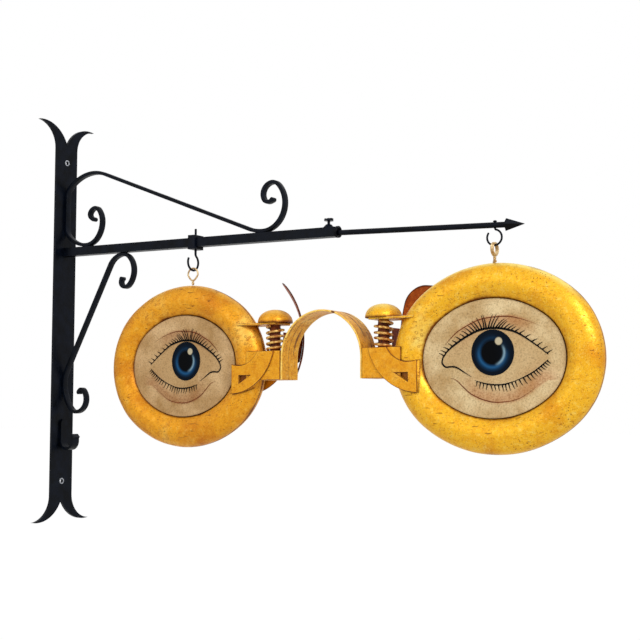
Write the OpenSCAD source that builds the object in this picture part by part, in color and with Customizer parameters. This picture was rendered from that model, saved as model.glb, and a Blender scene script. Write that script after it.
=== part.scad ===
// Optical shop sign: a giant gilded pince-nez with painted eyes, hung from two hooks
// on a wrought-iron wall bracket whose arm can be drawn out.
// The origin is the centre of the wall plate's back face. +X runs out along the arm,
// +Z is up, and the street looks at the sign along +Y. Sizes are millimetres.

/* [Wall plate] */
// Width of the flat bar
plate_w = 45; // [36:1:56]
// Thickness of the flat bar
plate_t = 5; // [4:0.5:8]
// Height of each notch between the split tails above or below the middle
notch_z = 287; // [275:1:320]
// How far the centre of a tail's outer curve lies from the middle line
tail_reach = 62; // [52:1:72]
// How far the outer curve starts below the notch
tail_root = 6; // [4:1:12]
// How far the inner curve's centre lies from the middle line
tail_inner_reach = 50; // [42:1:60]
// How far the inner curve's centre lies below the notch
tail_inner_drop = 19; // [14:1:24]
// Distance between the two screw holes
screw_spacing = 517; // [480:1:530]
// Diameter of the screw holes
screw_hole_d = 6; // [4:0.5:8]

/* [Arm tube] */
// Height of the arm where it leaves the wall
arm_z = 110.7; // [100:0.1:125]
// Outer size of the square tube
tube_size = 13.6; // [13:0.1:16]
// Wall of the square tube
tube_wall = 1.4; // [1:0.1:1.8]
// Distance from the wall to the tube's open end
tube_end = 528; // [500:1:560]
// How far the tube droops, in degrees
tube_droop = 1.1; // [0.6:0.1:1.5]
// Diameter of the collar on the open end
collar_d = 16.5; // [16.5:0.5:20]
// Length of that collar
collar_len = 3.5; // [2:0.5:6]

/* [Draw-out rod] */
// Diameter of the rod
rod_d = 7.5; // [6:0.1:7.8]
// How far the rod droops, in degrees
rod_droop = 2.42; // [1.8:0.02:2.7]
// How far the rod's axis lies under the tube's axis at the collar
rod_drop = 1.3; // [0.8:0.1:1.5]
// Length of rod inside the tube
rod_in = 75; // [60:1:85]
// Length of rod from the collar to the arrow
rod_out = 246.5; // [240:0.5:262]
// Length of the arrow point
arrow_len = 25; // [18:1:32]
// Size of the arrow's square base, from corner to corner
arrow_size = 16.5; // [14:0.5:24]
// Depth of the arrow's socket on the rod's end
arrow_socket = 6; // [4:0.5:8]
// Depth of the hollow between the arrow's barbs
arrow_barb = 3; // [1:0.5:5]

/* [Thumbscrew] */
// Distance of the thumbscrew from the wall along the arm
screw_x = 511; // [500:1:516]
// Diameter of the knob
knob_d = 13.5; // [11:0.5:16]
// Thickness of the knob
knob_t = 4.2; // [3:0.2:6]
// Diameter of the knob's two rolled wings
wing_d = 3.4; // [2.6:0.2:4]
// Diameter of the threaded shank
shank_d = 4; // [3:0.5:5]
// Length of the neck between the boss and the knob
neck_len = 5; // [4:0.5:7]
// Height of the cone-shaped boss
boss_h = 4.5; // [3:0.5:7]
// Diameter of the boss on the tube
boss_d = 16; // [13:0.5:18]
// Diameter of the boss at its top
boss_top_d = 8; // [7:0.5:9.5]

/* [Braces] */
// Width of the bar that the braces are bent from
bar_w = 9.5; // [7:0.5:12]
// Thickness of that bar
bar_t = 5.5; // [4:0.5:6]
// Diameter of the rolled tip of a scroll
tip_d = 7; // [6:0.5:8]
// Length of the upper brace against the wall plate
upper_seat_len = 52.5; // [44:0.5:60]
// Length of the upper brace's straight run down to the arm
upper_run = 306.7; // [296:0.1:312]
// Length of the lower brace's straight run up to the arm
lower_run = 189.4; // [180:0.1:194]

/* [Cord cleat] */
// Height of the cleat's top above the middle of the plate
cleat_z = -160; // [-170:1:-150]
// Width of the cleat's leaf
cleat_w = 14; // [10:1:20]
// Thickness of the cleat
cleat_t = 4; // [3:0.5:5]
// Radius of the cleat's hook, to the middle of the bar
cleat_r = 13; // [10:0.5:15]
// Length of the cleat's leaf
cleat_leaf = 34; // [28:1:40]

/* [Hooks] */
// Height of the axis about which the sign swings
swing_z = 65; // [62:0.5:66]
// Distance of the inner hook from the wall
clip_x = 275.5; // [268:0.5:283]
// Distance of the outer hook from the wall
rod_hook_x = 759.5; // [756:0.5:762]
// Wire of the inner hook
clip_hook_wire = 3.2; // [2.6:0.1:3.6]
// Bend radius of the inner hook, to the middle of the wire
clip_hook_r = 12; // [10:0.5:12.5]
// How far the inner hook's bend lies to the front of its shank
clip_hook_offset = 5.5; // [4:0.5:7]
// Height of the swing axis over the middle of the inner hook's wire
clip_bar_drop = 2; // [1.6:0.1:2.4]
// Wire of the outer hook
rod_hook_wire = 2.6; // [2.2:0.1:3.2]
// Bend radius of the outer hook, to the middle of the wire
rod_hook_r = 10; // [9:0.1:10.2]
// Height of the swing axis over the middle of the outer hook's wire
rod_bar_drop = 1.2; // [0.9:0.1:1.6]
// Height of the outer hook's head, over the rod
hook_head_h = 2.1; // [1.4:0.1:3]
// How far the outer hook's bend lies behind its shank
rod_hook_offset = 1; // [0.5:0.5:2]
// Radius of the inner hook's upper bend
clip_neck_r = 5; // [4:0.5:6]
// Where the inner hook's tip ends round its bend, in degrees
clip_tip = 147; // [130:1:155]
// Radius of the outer hook's upper bend
rod_neck_r = 2.2; // [2:0.1:2.6]
// Where the outer hook's tip ends round its bend, in degrees
rod_tip = 138; // [125:1:150]
// Length of the sleeve that slides on the tube
sleeve_len = 13; // [10:0.5:18]
// Wall of that sleeve
sleeve_wall = 3.5; // [2.5:0.5:5]
// Length of the pin that stands on the sleeve
pin_len = 10; // [6:0.5:12]
// Diameter of that pin
pin_d = 3.4; // [3:0.1:4]

/* [Hanging eyes] */
// Wire of the hanging eyes
eye_wire = 2.6; // [2:0.1:3]
// Radius of the eye on the inner hook, to the middle of the wire
inner_eye_r = 9.2; // [8:0.1:10]
// Radius of the eye on the outer hook, to the middle of the wire
outer_eye_r = 8; // [7.5:0.1:9]
// Distance between the two turns of the eye on the outer hook
turn_pitch = 2.3; // [2:0.1:2.5]
// Width of the twisted stem
stem_w = 4.6; // [4:0.1:6]

/* [Eye frames] */
// Distance of the bridge's middle from the wall
sign_x = 509.5; // [505:0.5:513]
// How far the top of the eye frames hangs under the swing axis
rim_drop = 23.4; // [22.6:0.2:30]
// Distance between the two frames' near sides
bridge_span = 212; // [208:1:217]
// Outer width of a frame
frame_w = 284; // [276:1:290]
// Outer height of a frame
frame_h = 242; // [234:1:248]
// Width of the padded rim, seen from the front
rim_w = 48; // [44:1:50]
// Depth of the padded rim from front to back
rim_depth = 40; // [36:1:40]
// Sheet that the rim's shells are pressed from
rim_sheet = 1.2; // [0.8:0.1:2]
// Radius of the oval's ends, as a share of half its height
oval_end_share = 0.885; // [0.86:0.005:0.91]
// Radius of the rim's rounding towards its outer and inner edges
rim_round_r = 17.5; // [17:0.5:18]
// How far each painted panel's face lies from the middle plane
panel_y = 10; // [7:0.5:13]
// Thickness of a painted panel
panel_t = 1.5; // [1:0.1:2.5]

/* [Bridge] */
// Width of the bridge strap, which the blocks and plates share
strap_w = 41; // [40:0.5:46]
// Thickness of the strap
strap_t = 2.5; // [1.5:0.5:4]
// Outer radius of the arch
arch_r = 65.7; // [62:0.1:68]
// Height of the arch's centre above the middle of the frames
arch_z = 6.7; // [2:0.1:12]
// Length of the blocks that join the bridge to the rims
block_len = 58.5; // [56:0.5:62]
// Height of a block's top above the middle of the frames
block_top = 18; // [14:0.5:22]
// Height of a block from bottom to top
block_h = 41; // [36:0.5:46]

/* [Cheek plates] */
// Thickness of the plates in front of and behind the blocks
cheek_t = 2; // [1:0.5:3]
// Distance of the plates' far edge from the bridge's middle
cheek_reach = 149; // [146:0.5:152]
// Radius of the plates' lower, outward curve
cheek_out_r = 76; // [74:0.5:78]
// Radius of the plates' upper, hollow curve
cheek_in_r = 35.6; // [34:0.2:37]
// How far the lower curve's centre lies past the plates' far edge
cheek_out_past = 1.2; // [0:0.2:3]
// How far the hollow curve's centre lies inside the plates' far edge
cheek_in_back = 12.8; // [11:0.2:14]
// How far the centres of both curves lie above the blocks
cheek_rise = 15.7; // [14.5:0.1:17]
// How far the window lies inside the plates' far edge
window_back = 13.7; // [12:0.1:16]
// How far the window's top lies under the top of the blocks
window_drop = 34.3; // [33:0.1:36]
// Width of the triangular window
window_w = 18.5; // [14:0.5:20]
// Height of the triangular window
window_h = 11; // [8:0.5:12]

/* [Spring posts] */
// Distance of the posts from the bridge's middle
post_u = 88; // [84:1:92]
// Diameter of a post
post_d = 17; // [14:0.5:18]
// Height of a post above its block
post_h = 37; // [32:1:42]
// Diameter of the spring wire
spring_wire = 3.4; // [2:0.2:3.6]
// Clear width inside the spring
spring_in_d = 20; // [18.5:0.1:21]
// Number of curls in a spring
spring_curls = 4; // [3:1:5]
// Thickness of the tie plate on the post
tie_t = 3; // [2:0.5:4]
// Width of the tie plate
tie_w = 39; // [34:1:39.5]
// Distance from the post's middle to the tie plate's end in the rim's side
tie_reach = 70; // [66:1:76]
// Diameter of the dome
dome_d = 50.5; // [42:0.5:53]
// Height of the dome
dome_h = 19; // [14:0.5:22]
// Sheet that the dome is raised from
dome_sheet = 1.2; // [0.8:0.1:2]

/* [Nose pads] */
// Width of a nose pad
pad_w = 56; // [48:1:62]
// Height of a nose pad
pad_h = 139; // [125:1:145]
// Thickness of a nose pad
pad_t = 2.5; // [1.5:0.5:4]
// Radius to which the pad is curved
pad_bend_r = 130; // [110:2:170]
// Height of the pad's fullest point above the middle of the frames
pad_mid_z = 38; // [32:1:44]
// How far the lower tip lies under the middle of the frames
pad_low = 16; // [10:1:20]
// How far the pads flare from the bridge outwards, in degrees
pad_flare = 33.6; // [28:0.2:38]
// How much lower the right pad hangs than the left one
right_pad_drop = 17; // [0:1:24]
// Distance of the pads' centre from the middle plane, backwards
pad_y = 84.5; // [78:0.5:90]
// Distance of the pads' centre from the bridge's middle
pad_u = 94; // [90:0.5:98]
// Radius of a pad's corners
pad_corner_r = 24; // [16:1:27]
// Thickness of the arm that holds the pad
pad_arm_t = 2; // [1.5:0.5:3]
// Height of the arm's top edge above the middle of the frames
pad_arm_top = 46; // [40:1:50]

/* [Fits] */
// Gap between pieces that only rest on each other
seat_gap = 0.3; // [0.2:0.05:0.5]
// Gap round a pin or shank in its hole
pin_gap = 0.1; // [0.05:0.05:0.2]
// Gap between bars that are riveted together
touch_gap = 0.05; // [0.05:0.05:0.2]
// Gap between the sliding sleeve and the tube
slide_gap = 0.3; // [0.2:0.05:0.5]
// Gap between an eye and the hook that it hangs on
eye_gap = 0.3; // [0.25:0.05:0.5]

/* [Hidden] */

left = -1;
right = 1;
front = -1;
back = 1;
round_fn = 96;
small_fn = 48;
cut = 400;
overcut = 1;
full_turn = 360;
half_turn = 180;
quarter_turn = 90;
bend_step = 5;
section_steps = 16;
shell_sides = 9;
rim_steps = 64;

iron = "#15171c";
gold = "#f0b62b";
old_gold = "#e09a20";
wire_gold = "#d9b46a";
cream = "#c9b18c";
rust = "#a5480c";
red_brown = "#6b2a12";

// Bends are [radius, angle] and straight runs are [length, 0]; a bend to the left is positive
upper_slope = 21.6;
lower_slope = 60.9;
upper_scroll = [[21, 45], [56, 45], [30, 45], [37, 45], [30, 45], [7.5, 45], [13, 60],
    [6.5, 60], [11, 50]];
upper_shoulder = [[14.3, -45], [74.5, -45], [70, -upper_slope]];
upper_landing = [69.3, upper_slope];
upper_end_scroll = [[36.3, 45], [38.3, 45], [39.3, 45], [13.3, 45], [17.3, 60],
    [15.3, 60], [8.5, 60], [11.3, 40]];
lower_turn = [38.4, lower_slope - quarter_turn];
lower_landing = [30.7, -lower_slope];
lower_end_scroll = [[19.5, -45], [29.7, -45], [30.7, -45], [11.8, -45], [8.7, -60],
    [7.7, -70]];
lower_scroll = [[60, 45], [14.5, 45], [21.5, 45], [19.5, 45], [20.5, 45], [5, 45], [5.5, 80]];

bar_x = plate_t + bar_t / 2;
neck_swell = 0.3;
neck_lap = 0.5;
arrow_tip = 0.6;
tube_bore = tube_size - 2 * tube_wall;
mid_r = rim_w / 2;
rim_y = rim_depth / 2;
path_a = frame_w / 2 - mid_r;
path_b = frame_h / 2 - mid_r;
oval_end_r = oval_end_share * path_b;
frame_z = swing_z - rim_drop - frame_h / 2;
lens_u = (bridge_span + frame_w) / 2;
block_low = block_top - block_h;
block_u = arch_r + seat_gap;
post_top = block_top + post_h;
dome_z = post_top + tie_t;
cheek_y = strap_w / 2;

// Hook bends and eyes, seen along the wire that carries them
clip_bar_z = swing_z - clip_bar_drop;
rod_bar_z = swing_z - rod_bar_drop;
inner_eye_z = clip_bar_z + clip_hook_wire / 2 + eye_gap + eye_wire / 2 - inner_eye_r;
outer_eye_z = rod_bar_z + rod_hook_wire / 2 + eye_gap + eye_wire / 2 - outer_eye_r;

// Height of the rod's axis above a point on the ground line
function rod_start() = [tube_end * cos(tube_droop) - rod_drop * sin(tube_droop),
    arm_z - tube_end * sin(tube_droop) - rod_drop * cos(tube_droop)];
function rod_z(x) = rod_start()[1] - (x - rod_start()[0]) * tan(rod_droop);
function tube_z(x) = arm_z - x * tan(tube_droop);

// Where a bent bar goes: each pose is [x, z, heading]
function turn(s) = s[1] < 0 ? -1 : 1;
function next_pose(p, s) = s[1] == 0
    ? [p[0] + s[0] * cos(p[2]), p[1] + s[0] * sin(p[2]), p[2]]
    : [p[0] + turn(s) * s[0] * (sin(p[2] + s[1]) - sin(p[2])),
       p[1] - turn(s) * s[0] * (cos(p[2] + s[1]) - cos(p[2])), p[2] + s[1]];
function poses(p, list, i = 0) = i == len(list)
    ? [p] : concat([p], poses(next_pose(p, list[i]), list, i + 1));

// Second radius of an oval drawn with four arcs
function side_r(a, b, r) = (a * a - 2 * a * r + b * b) / (2 * (b - r));
function join_angle(a, b, r) = atan2(side_r(a, b, r) - b, a - r);

// The oval's point at which its edge faces the angle t
function oval_point(a, b, r, t) = let (big = side_r(a, b, r))
    abs(cos(t)) > cos(join_angle(a, b, r))
        ? [sign(cos(t)) * (a - r) + r * cos(t), r * sin(t)]
        : [big * cos(t), sign(sin(t)) * (b - big) + big * sin(t)];
function oval_points(a, b, r, steps) = [for (k = [0 : steps - 1])
    oval_point(a, b, r, full_turn * k / steps)];

// Where the oval's upper edge lies over a point u from its middle
function oval_top(a, b, r, u) = sqrt(pow(side_r(a, b, r), 2) - u * u) - side_r(a, b, r) + b;

module along_arm() {
    translate([0, 0, arm_z]) rotate([0, tube_droop, 0]) children();
}

module along_rod() {
    along_arm() translate([tube_end, 0, -rod_drop])
        rotate([0, rod_droop - tube_droop, 0]) children();
}

module at_frames(side) {
    translate([sign_x, 0, frame_z]) mirror([side < 0 ? 1 : 0, 0, 0]) children();
}

// Points along one side of a bent bar, a distance off to the left of its middle line
function bend_count(s) = s[1] == 0 ? 1 : ceil(abs(s[1]) / bend_step);
function part_of(s, share) = s[1] == 0 ? [s[0] * share, 0] : [s[0], s[1] * share];
function off_side(p, off) = [p[0] - off * sin(p[2]), p[1] + off * cos(p[2])];
function side_points(way, list, off) = [for (i = [0 : len(list) - 1])
    for (k = [1 : bend_count(list[i])])
        off_side(next_pose(way[i], part_of(list[i], k / bend_count(list[i]))), off)];
function reversed(list) = [for (i = [len(list) - 1 : -1 : 0]) list[i]];

// A flat bar that leaves its seat on the wall both ways, up and down, in the X-Z plane
module bent_bar(seat, up_list, down_list) {
    down = [seat[0], seat[1], -seat[2]];
    up_way = poses(seat, up_list);
    down_way = poses(down, down_list);
    half = bar_t / 2;
    outline = concat(
        reversed(side_points(down_way, down_list, -half)), [off_side(seat, half)],
        side_points(up_way, up_list, half), reversed(side_points(up_way, up_list, -half)),
        [off_side(seat, -half)], side_points(down_way, down_list, half));
    rotate([quarter_turn, 0, 0]) union() {
        linear_extrude(bar_w, center = true) polygon(outline);
        for (tip = [up_way[len(up_list)], down_way[len(down_list)]])
            translate([tip[0], tip[1], 0])
                cylinder(d = tip_d, h = bar_w, center = true, $fn = small_fn);
    }
}

module tail_outline() {
    difference() {
        intersection() {
            translate([tail_inner_reach, notch_z - tail_inner_drop])
                circle(r = norm([tail_inner_reach, tail_inner_drop]), $fn = round_fn);
            translate([0, notch_z - tail_root]) square([tail_reach, cut]);
        }
        translate([tail_reach, notch_z - tail_root])
            circle(r = tail_reach - plate_w / 2, $fn = round_fn);
    }
}

module wall_plate() {
    color(iron) rotate([quarter_turn, 0, quarter_turn]) difference() {
        linear_extrude(plate_t) union() {
            square([plate_w, 2 * (notch_z - tail_root)], center = true);
            for (a = [0, 1], b = [0, 1])
                mirror([a, 0]) mirror([0, b]) tail_outline();
        }
        for (z = [-1, 1]) translate([0, z * screw_spacing / 2, -overcut])
            cylinder(d = screw_hole_d, h = plate_t + 2 * overcut, $fn = small_fn);
    }
}

module arm_tube() {
    color(iron) difference() {
        along_arm() difference() {
            translate([-plate_t, -tube_size / 2, -tube_size / 2])
                cube([tube_end - collar_len + plate_t, tube_size, tube_size]);
            translate([plate_t + tube_size, -tube_bore / 2, -tube_bore / 2])
                cube([tube_end, tube_bore, tube_bore]);
            translate([screw_x, 0, 0])
                cylinder(d = shank_d + 2 * pin_gap, h = tube_size, $fn = small_fn);
        }
        translate([plate_t - cut, -cut / 2, -cut / 2]) cube([cut, cut, 2 * cut]);
    }
}

module tube_collar() {
    color(iron) along_arm() difference() {
        translate([tube_end - collar_len, 0, 0]) rotate([0, quarter_turn, 0])
            cylinder(d = collar_d, h = collar_len, $fn = small_fn);
        translate([tube_end - cut / 2, -tube_bore / 2, -tube_bore / 2])
            cube([cut, tube_bore, tube_bore]);
    }
}

module screw_boss() {
    color(iron) along_arm() translate([screw_x, 0, tube_size / 2]) difference() {
        cylinder(d1 = boss_d, d2 = boss_top_d, h = boss_h, $fn = round_fn);
        translate([0, 0, -overcut])
            cylinder(d = shank_d + 2 * pin_gap, h = boss_h + 2 * overcut, $fn = small_fn);
    }
}

// Where the shank's tip stops over the rod, along the screw's own axis
function rod_top_at_screw() = -rod_drop + rod_d / 2
    + (tube_end - screw_x) * tan(rod_droop - tube_droop);

module screw_shank() {
    low = rod_top_at_screw() + seat_gap;
    high = tube_size / 2 + boss_h + neck_len;
    color(iron) along_arm() translate([screw_x, 0, low])
        cylinder(d = shank_d, h = high - low, $fn = small_fn);
}

module screw_knob() {
    ball_r = (pow(knob_d / 2, 2) + pow(knob_t, 2)) / (2 * knob_t);
    color(iron) along_arm() translate([screw_x, 0, tube_size / 2 + boss_h + neck_len])
        difference() {
            union() {
                intersection() {
                    translate([0, 0, knob_t - ball_r]) sphere(r = ball_r, $fn = small_fn);
                    cylinder(d = knob_d, h = knob_t, $fn = small_fn);
                }
                for (a = [0, half_turn]) rotate([0, 0, a])
                    translate([(knob_d - knob_t) / 2, 0, knob_t / 2])
                        rotate([quarter_turn, 0, 0])
                            cylinder(d = wing_d, h = knob_t, center = true, $fn = small_fn);
            }
            translate([0, 0, -overcut])
                cylinder(d = shank_d, h = overcut + seat_gap, $fn = small_fn);
        }
}

// Each brace is set so high that the bend at the end of its run just meets the arm
function landing(list) = let (way = poses([bar_x, 0, quarter_turn], list)) way[len(list)];
upper_path = concat([[upper_seat_len, 0]], upper_shoulder, [[upper_run, 0], upper_landing]);
lower_path = [lower_turn, [lower_run, 0], lower_landing];
arm_reach = tube_size / 2 / cos(tube_droop) + touch_gap + bar_t / 2;
upper_seat_z = tube_z(landing(upper_path)[0]) + arm_reach - landing(upper_path)[1];
lower_seat_z = tube_z(landing(lower_path)[0]) - arm_reach - landing(lower_path)[1];

module upper_brace() {
    color(iron) bent_bar([bar_x, upper_seat_z, quarter_turn],
        concat(upper_path, upper_end_scroll), upper_scroll);
}

module lower_brace() {
    color(iron) bent_bar([bar_x, lower_seat_z, quarter_turn],
        concat(lower_path, lower_end_scroll), lower_scroll);
}

// A leaf against the plate that turns out and up into a blunt hook
module cord_cleat() {
    hook_x = plate_t + cleat_t / 2 + cleat_r;
    hook_z = cleat_z - cleat_leaf;
    color(iron) union() {
        translate([plate_t, 0, 0]) rotate([0, quarter_turn, 0]) linear_extrude(cleat_t)
            union() {
                translate([-cleat_z + cleat_w / 2, 0]) circle(d = cleat_w, $fn = small_fn);
                translate([-cleat_z + cleat_w / 2, -cleat_w / 2])
                    square([cleat_leaf - cleat_w / 2, cleat_w]);
            }
        translate([hook_x, 0, hook_z]) rotate([quarter_turn, 0, 0])
            rotate([0, 0, half_turn])
                rotate_extrude(angle = half_turn, $fn = round_fn)
                    translate([cleat_r, 0]) square([cleat_t, cleat_w], center = true);
        translate([hook_x + cleat_r - cleat_t / 2, -cleat_w / 2, hook_z])
            cube([cleat_t, cleat_w, cleat_w / 2]);
        translate([hook_x + cleat_r, 0, hook_z + cleat_w / 2]) rotate([0, quarter_turn / 2, 0])
            cube([cleat_w / 2, cleat_w, cleat_t], center = true);
    }
}

module extension_rod() {
    color(iron) difference() {
        along_rod() translate([-rod_in, 0, 0]) rotate([0, quarter_turn, 0])
            cylinder(d = rod_d, h = rod_in + rod_out + arrow_socket - seat_gap,
                $fn = small_fn);
        translate([rod_hook_x, 0, rod_z(rod_hook_x) - cut / 2])
            cylinder(d = rod_hook_wire + 2 * (neck_swell + pin_gap), h = cut, $fn = small_fn);
    }
}

module arrow_point() {
    color(iron) along_rod() translate([rod_out, 0, 0]) rotate([0, quarter_turn, 0])
        difference() {
            cylinder(d1 = arrow_size, d2 = arrow_tip, h = arrow_len, $fn = 4);
            translate([0, 0, -arrow_barb])
                cylinder(d1 = 2 * arrow_size, d2 = arrow_tip, h = 2 * arrow_barb, $fn = 4);
            translate([0, 0, -overcut])
                cylinder(d = rod_d + 2 * pin_gap, h = overcut + arrow_socket, $fn = small_fn);
        }
}

// A wire hook in the X-Z plane: its shank stands over the origin and its bend hangs
// under it, moved along -X by offset, with the middle of the wire lowest at bottom_z.
// The wire thickens a little at the neck and again at the shank, where it was forged.
module wire_hook(wire, r, offset, neck_r, bottom_z, top_z, tip_angle) {
    open_angle = acos((offset + neck_r) / (r + neck_r));
    bend_z = bottom_z + r;
    neck_z = bend_z + (r + neck_r) * sin(open_angle);
    translate([-offset, 0, bend_z]) wire_arc(wire, r, tip_angle, full_turn + open_angle);
    translate([neck_r, 0, neck_z])
        wire_arc(wire + neck_swell, neck_r, half_turn,
            half_turn + open_angle + asin(neck_lap / neck_r));
    translate([0, 0, neck_z - neck_swell])
        cylinder(d = wire + 2 * neck_swell, h = top_z - neck_z + neck_swell, $fn = small_fn);
}

module wire_arc(wire, r, from, to) {
    rotate([quarter_turn, 0, 0]) rotate([0, 0, from])
        rotate_extrude(angle = to - from, $fn = round_fn)
            translate([r, 0]) circle(d = wire, $fn = small_fn);
}

module rod_hook() {
    head_low = rod_z(rod_hook_x) + rod_d / 2 + seat_gap;
    head_top = head_low + hook_head_h;
    color(iron) translate([rod_hook_x, 0, 0]) union() {
        wire_hook(rod_hook_wire, rod_hook_r, rod_hook_offset, rod_neck_r, rod_bar_z,
            head_top - seat_gap, rod_tip);
        translate([0, 0, head_low])
            cylinder(d = 2 * rod_hook_wire, h = head_top - head_low, $fn = small_fn);
    }
}

module arm_sleeve() {
    inside = tube_size + 2 * slide_gap;
    outside = inside + 2 * sleeve_wall;
    color(iron) difference() {
        along_arm() difference() {
            translate([clip_x - sleeve_len / 2, -outside / 2, -outside / 2])
                cube([sleeve_len, outside, outside]);
            translate([clip_x - sleeve_len, -inside / 2, -inside / 2])
                cube([2 * sleeve_len, inside, inside]);
        }
        translate([clip_x, 0, tube_z(clip_x) - outside])
            cylinder(d = clip_hook_wire + 2 * (neck_swell + pin_gap), h = outside,
                $fn = small_fn);
        translate([clip_x, 0, tube_z(clip_x)])
            cylinder(d = pin_d + 2 * pin_gap, h = outside, $fn = small_fn);
    }
}

module sleeve_hook() {
    top = tube_z(clip_x) - tube_size / 2 - 2 * slide_gap;
    color(iron) translate([clip_x, 0, 0]) rotate([0, 0, quarter_turn])
        wire_hook(clip_hook_wire, clip_hook_r, clip_hook_offset, clip_neck_r,
            clip_bar_z, top, clip_tip);
}

module sleeve_pin() {
    foot = tube_z(clip_x) + tube_size / 2 + 2 * slide_gap;
    color(iron) translate([clip_x, 0, foot])
        cylinder(d = pin_d, h = sleeve_wall + pin_len, $fn = small_fn);
}

// Carries a flat section once round the oval of the rim, standing in the X-Z plane
module rim_sweep() {
    big = side_r(path_a, path_b, oval_end_r);
    bend = join_angle(path_a, path_b, oval_end_r);
    translate([lens_u, 0, 0]) rotate([quarter_turn, 0, 0]) union() {
        for (s = [0, half_turn]) {
            rotate([0, 0, s]) translate([path_a - oval_end_r, 0, 0]) rotate([0, 0, -bend])
                rotate_extrude(angle = 2 * bend, $fn = 2 * round_fn)
                    translate([oval_end_r, 0]) children();
            rotate([0, 0, s]) translate([0, path_b - big, 0]) rotate([0, 0, bend])
                rotate_extrude(angle = half_turn - 2 * bend, $fn = 2 * round_fn)
                    translate([big, 0]) children();
        }
    }
}

module rim_solid(grow) {
    rim_sweep() polygon(oval_points(mid_r + grow, rim_y + grow, rim_round_r + grow,
        2 * section_steps));
}

// Half of the hollow rim as a closed grid: rings of one section carried round the oval.
// The front one has its open side backwards.
function half_section(grow, face) = [for (k = [0 : shell_sides])
    let (p = oval_point(mid_r + grow, rim_y + grow, rim_round_r + grow,
        half_turn * k / shell_sides)) [p[0], -face * max(p[1], seat_gap / 2)]];
function rim_ring(section, t) = let (p = oval_point(path_a, path_b, oval_end_r, t))
    [for (q = section) [lens_u + p[0] + q[0] * cos(t), -q[1], p[1] + q[0] * sin(t)]];
function grid_corner(i, k, n, m) = (i % n) * m + k % m;
function grid_faces(n, m, flip) = [for (i = [0 : n - 1], k = [0 : m - 1])
    let (a = grid_corner(i, k, n, m), b = grid_corner(i + 1, k, n, m),
        c = grid_corner(i, k + 1, n, m), d = grid_corner(i + 1, k + 1, n, m))
    each (flip ? [[a, b, c], [c, b, d]] : [[a, c, b], [c, d, b]])];

module rim_shell(face) {
    section = concat(half_section(0, face), reversed(half_section(-rim_sheet, face)));
    polyhedron(points = [for (i = [0 : rim_steps - 1])
            each rim_ring(section, full_turn * i / rim_steps)],
        faces = grid_faces(rim_steps, len(section), face > 0), convexity = 8);
}

module painted_panel(face) {
    deep = panel_y - panel_t;
    edge = rim_half_at(deep) + seat_gap;
    translate([lens_u, face * deep, 0]) rotate([face * -quarter_turn, 0, 0])
        linear_extrude(panel_t)
            polygon(oval_points(path_a - edge, path_b - edge, oval_end_r - edge, round_fn));
}

// Half width of the rim's section at a depth from the middle plane
function rim_half_at(y) = let (r = rim_round_r, a = mid_r, b = rim_y,
        bend = join_angle(a, b, r), big = side_r(a, b, r))
    y < r * sin(bend) ? a - r + sqrt(r * r - y * y)
        : sqrt(big * big - pow(y + big - b, 2));

module bridge_arch() {
    color(gold) translate([sign_x, 0, frame_z]) union() {
        translate([0, 0, arch_z]) rotate([quarter_turn, 0, 0])
            rotate_extrude(angle = half_turn, $fn = 2 * round_fn)
                translate([arch_r - strap_t, -strap_w / 2]) square([strap_t, strap_w]);
        for (s = [-1, 1])
            translate([s * (arch_r - strap_t / 2), 0, (arch_z + block_low) / 2])
                cube([strap_t, strap_w, arch_z - block_low], center = true);
    }
}

module bridge_block() {
    difference() {
        translate([block_u, -strap_w / 2, block_low]) cube([block_len, strap_w, block_h]);
        rim_solid(seat_gap);
    }
}

// The cheek's hollow curve starts at the block's top and ends at its far edge
module cheek_outline() {
    low_u = cheek_reach + cheek_out_past;
    low_z = block_top + cheek_rise;
    difference() {
        intersection() {
            translate([low_u, low_z]) circle(r = cheek_out_r, $fn = 2 * round_fn);
            translate([block_u, low_z - cheek_out_r])
                square([cheek_reach - block_u, block_top - low_z + cheek_out_r]);
        }
        translate([cheek_reach - cheek_in_back, low_z])
            circle(r = cheek_in_r, $fn = 2 * round_fn);
        translate([cheek_reach - window_back, block_top - window_drop])
            polygon([[0, 0], [0, -window_h], [-window_w, 0]]);
    }
}

module cheek_plate(face) {
    translate([0, face > 0 ? cheek_y + cheek_t : -cheek_y, 0]) rotate([quarter_turn, 0, 0])
        linear_extrude(cheek_t) cheek_outline();
}

module spring_post() {
    translate([post_u, 0, block_top]) cylinder(d = post_d, h = post_h, $fn = small_fn);
}

// One unbroken helical tube; its first and last lengths run straight
spring_r = (spring_in_d + spring_wire) / 2;
spring_low = block_top + seat_gap + spring_wire / 2;
spring_high = post_top - seat_gap - spring_wire / 2;
spring_steps = 8;
spring_sides = 6;
spring_turns = spring_curls + 0.25;
function helix(t) = [post_u + spring_r * cos(t * full_turn), -spring_r * sin(t * full_turn),
    spring_low + (spring_high - spring_low) * t / spring_turns];
function unit(v) = v / norm(v);
function along(t) = unit(helix(t + 0.01) - helix(t - 0.01));
spring_last = spring_turns * spring_steps;
spring_way = concat([helix(0) - spring_wire * along(0)],
    [for (i = [0 : spring_last]) helix(i / spring_steps)],
    [helix(spring_turns) + spring_wire * along(spring_turns)]);
function way_dir(i) = i == 0 ? along(0) : i == len(spring_way) - 1
    ? along(spring_turns) : along((i - 1) / spring_steps);
function ring_at(i) = let (d = way_dir(i), s = unit(cross(d, [0, 0, 1])), n = cross(s, d))
    [for (k = [0 : spring_sides - 1]) spring_way[i] + spring_wire / 2
        * (cos(full_turn * k / spring_sides) * s + sin(full_turn * k / spring_sides) * n)];
rings = len(spring_way);
spring_points = [for (i = [0 : rings - 1]) each ring_at(i)];
function next_side(k) = (k + 1) % spring_sides;
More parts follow.
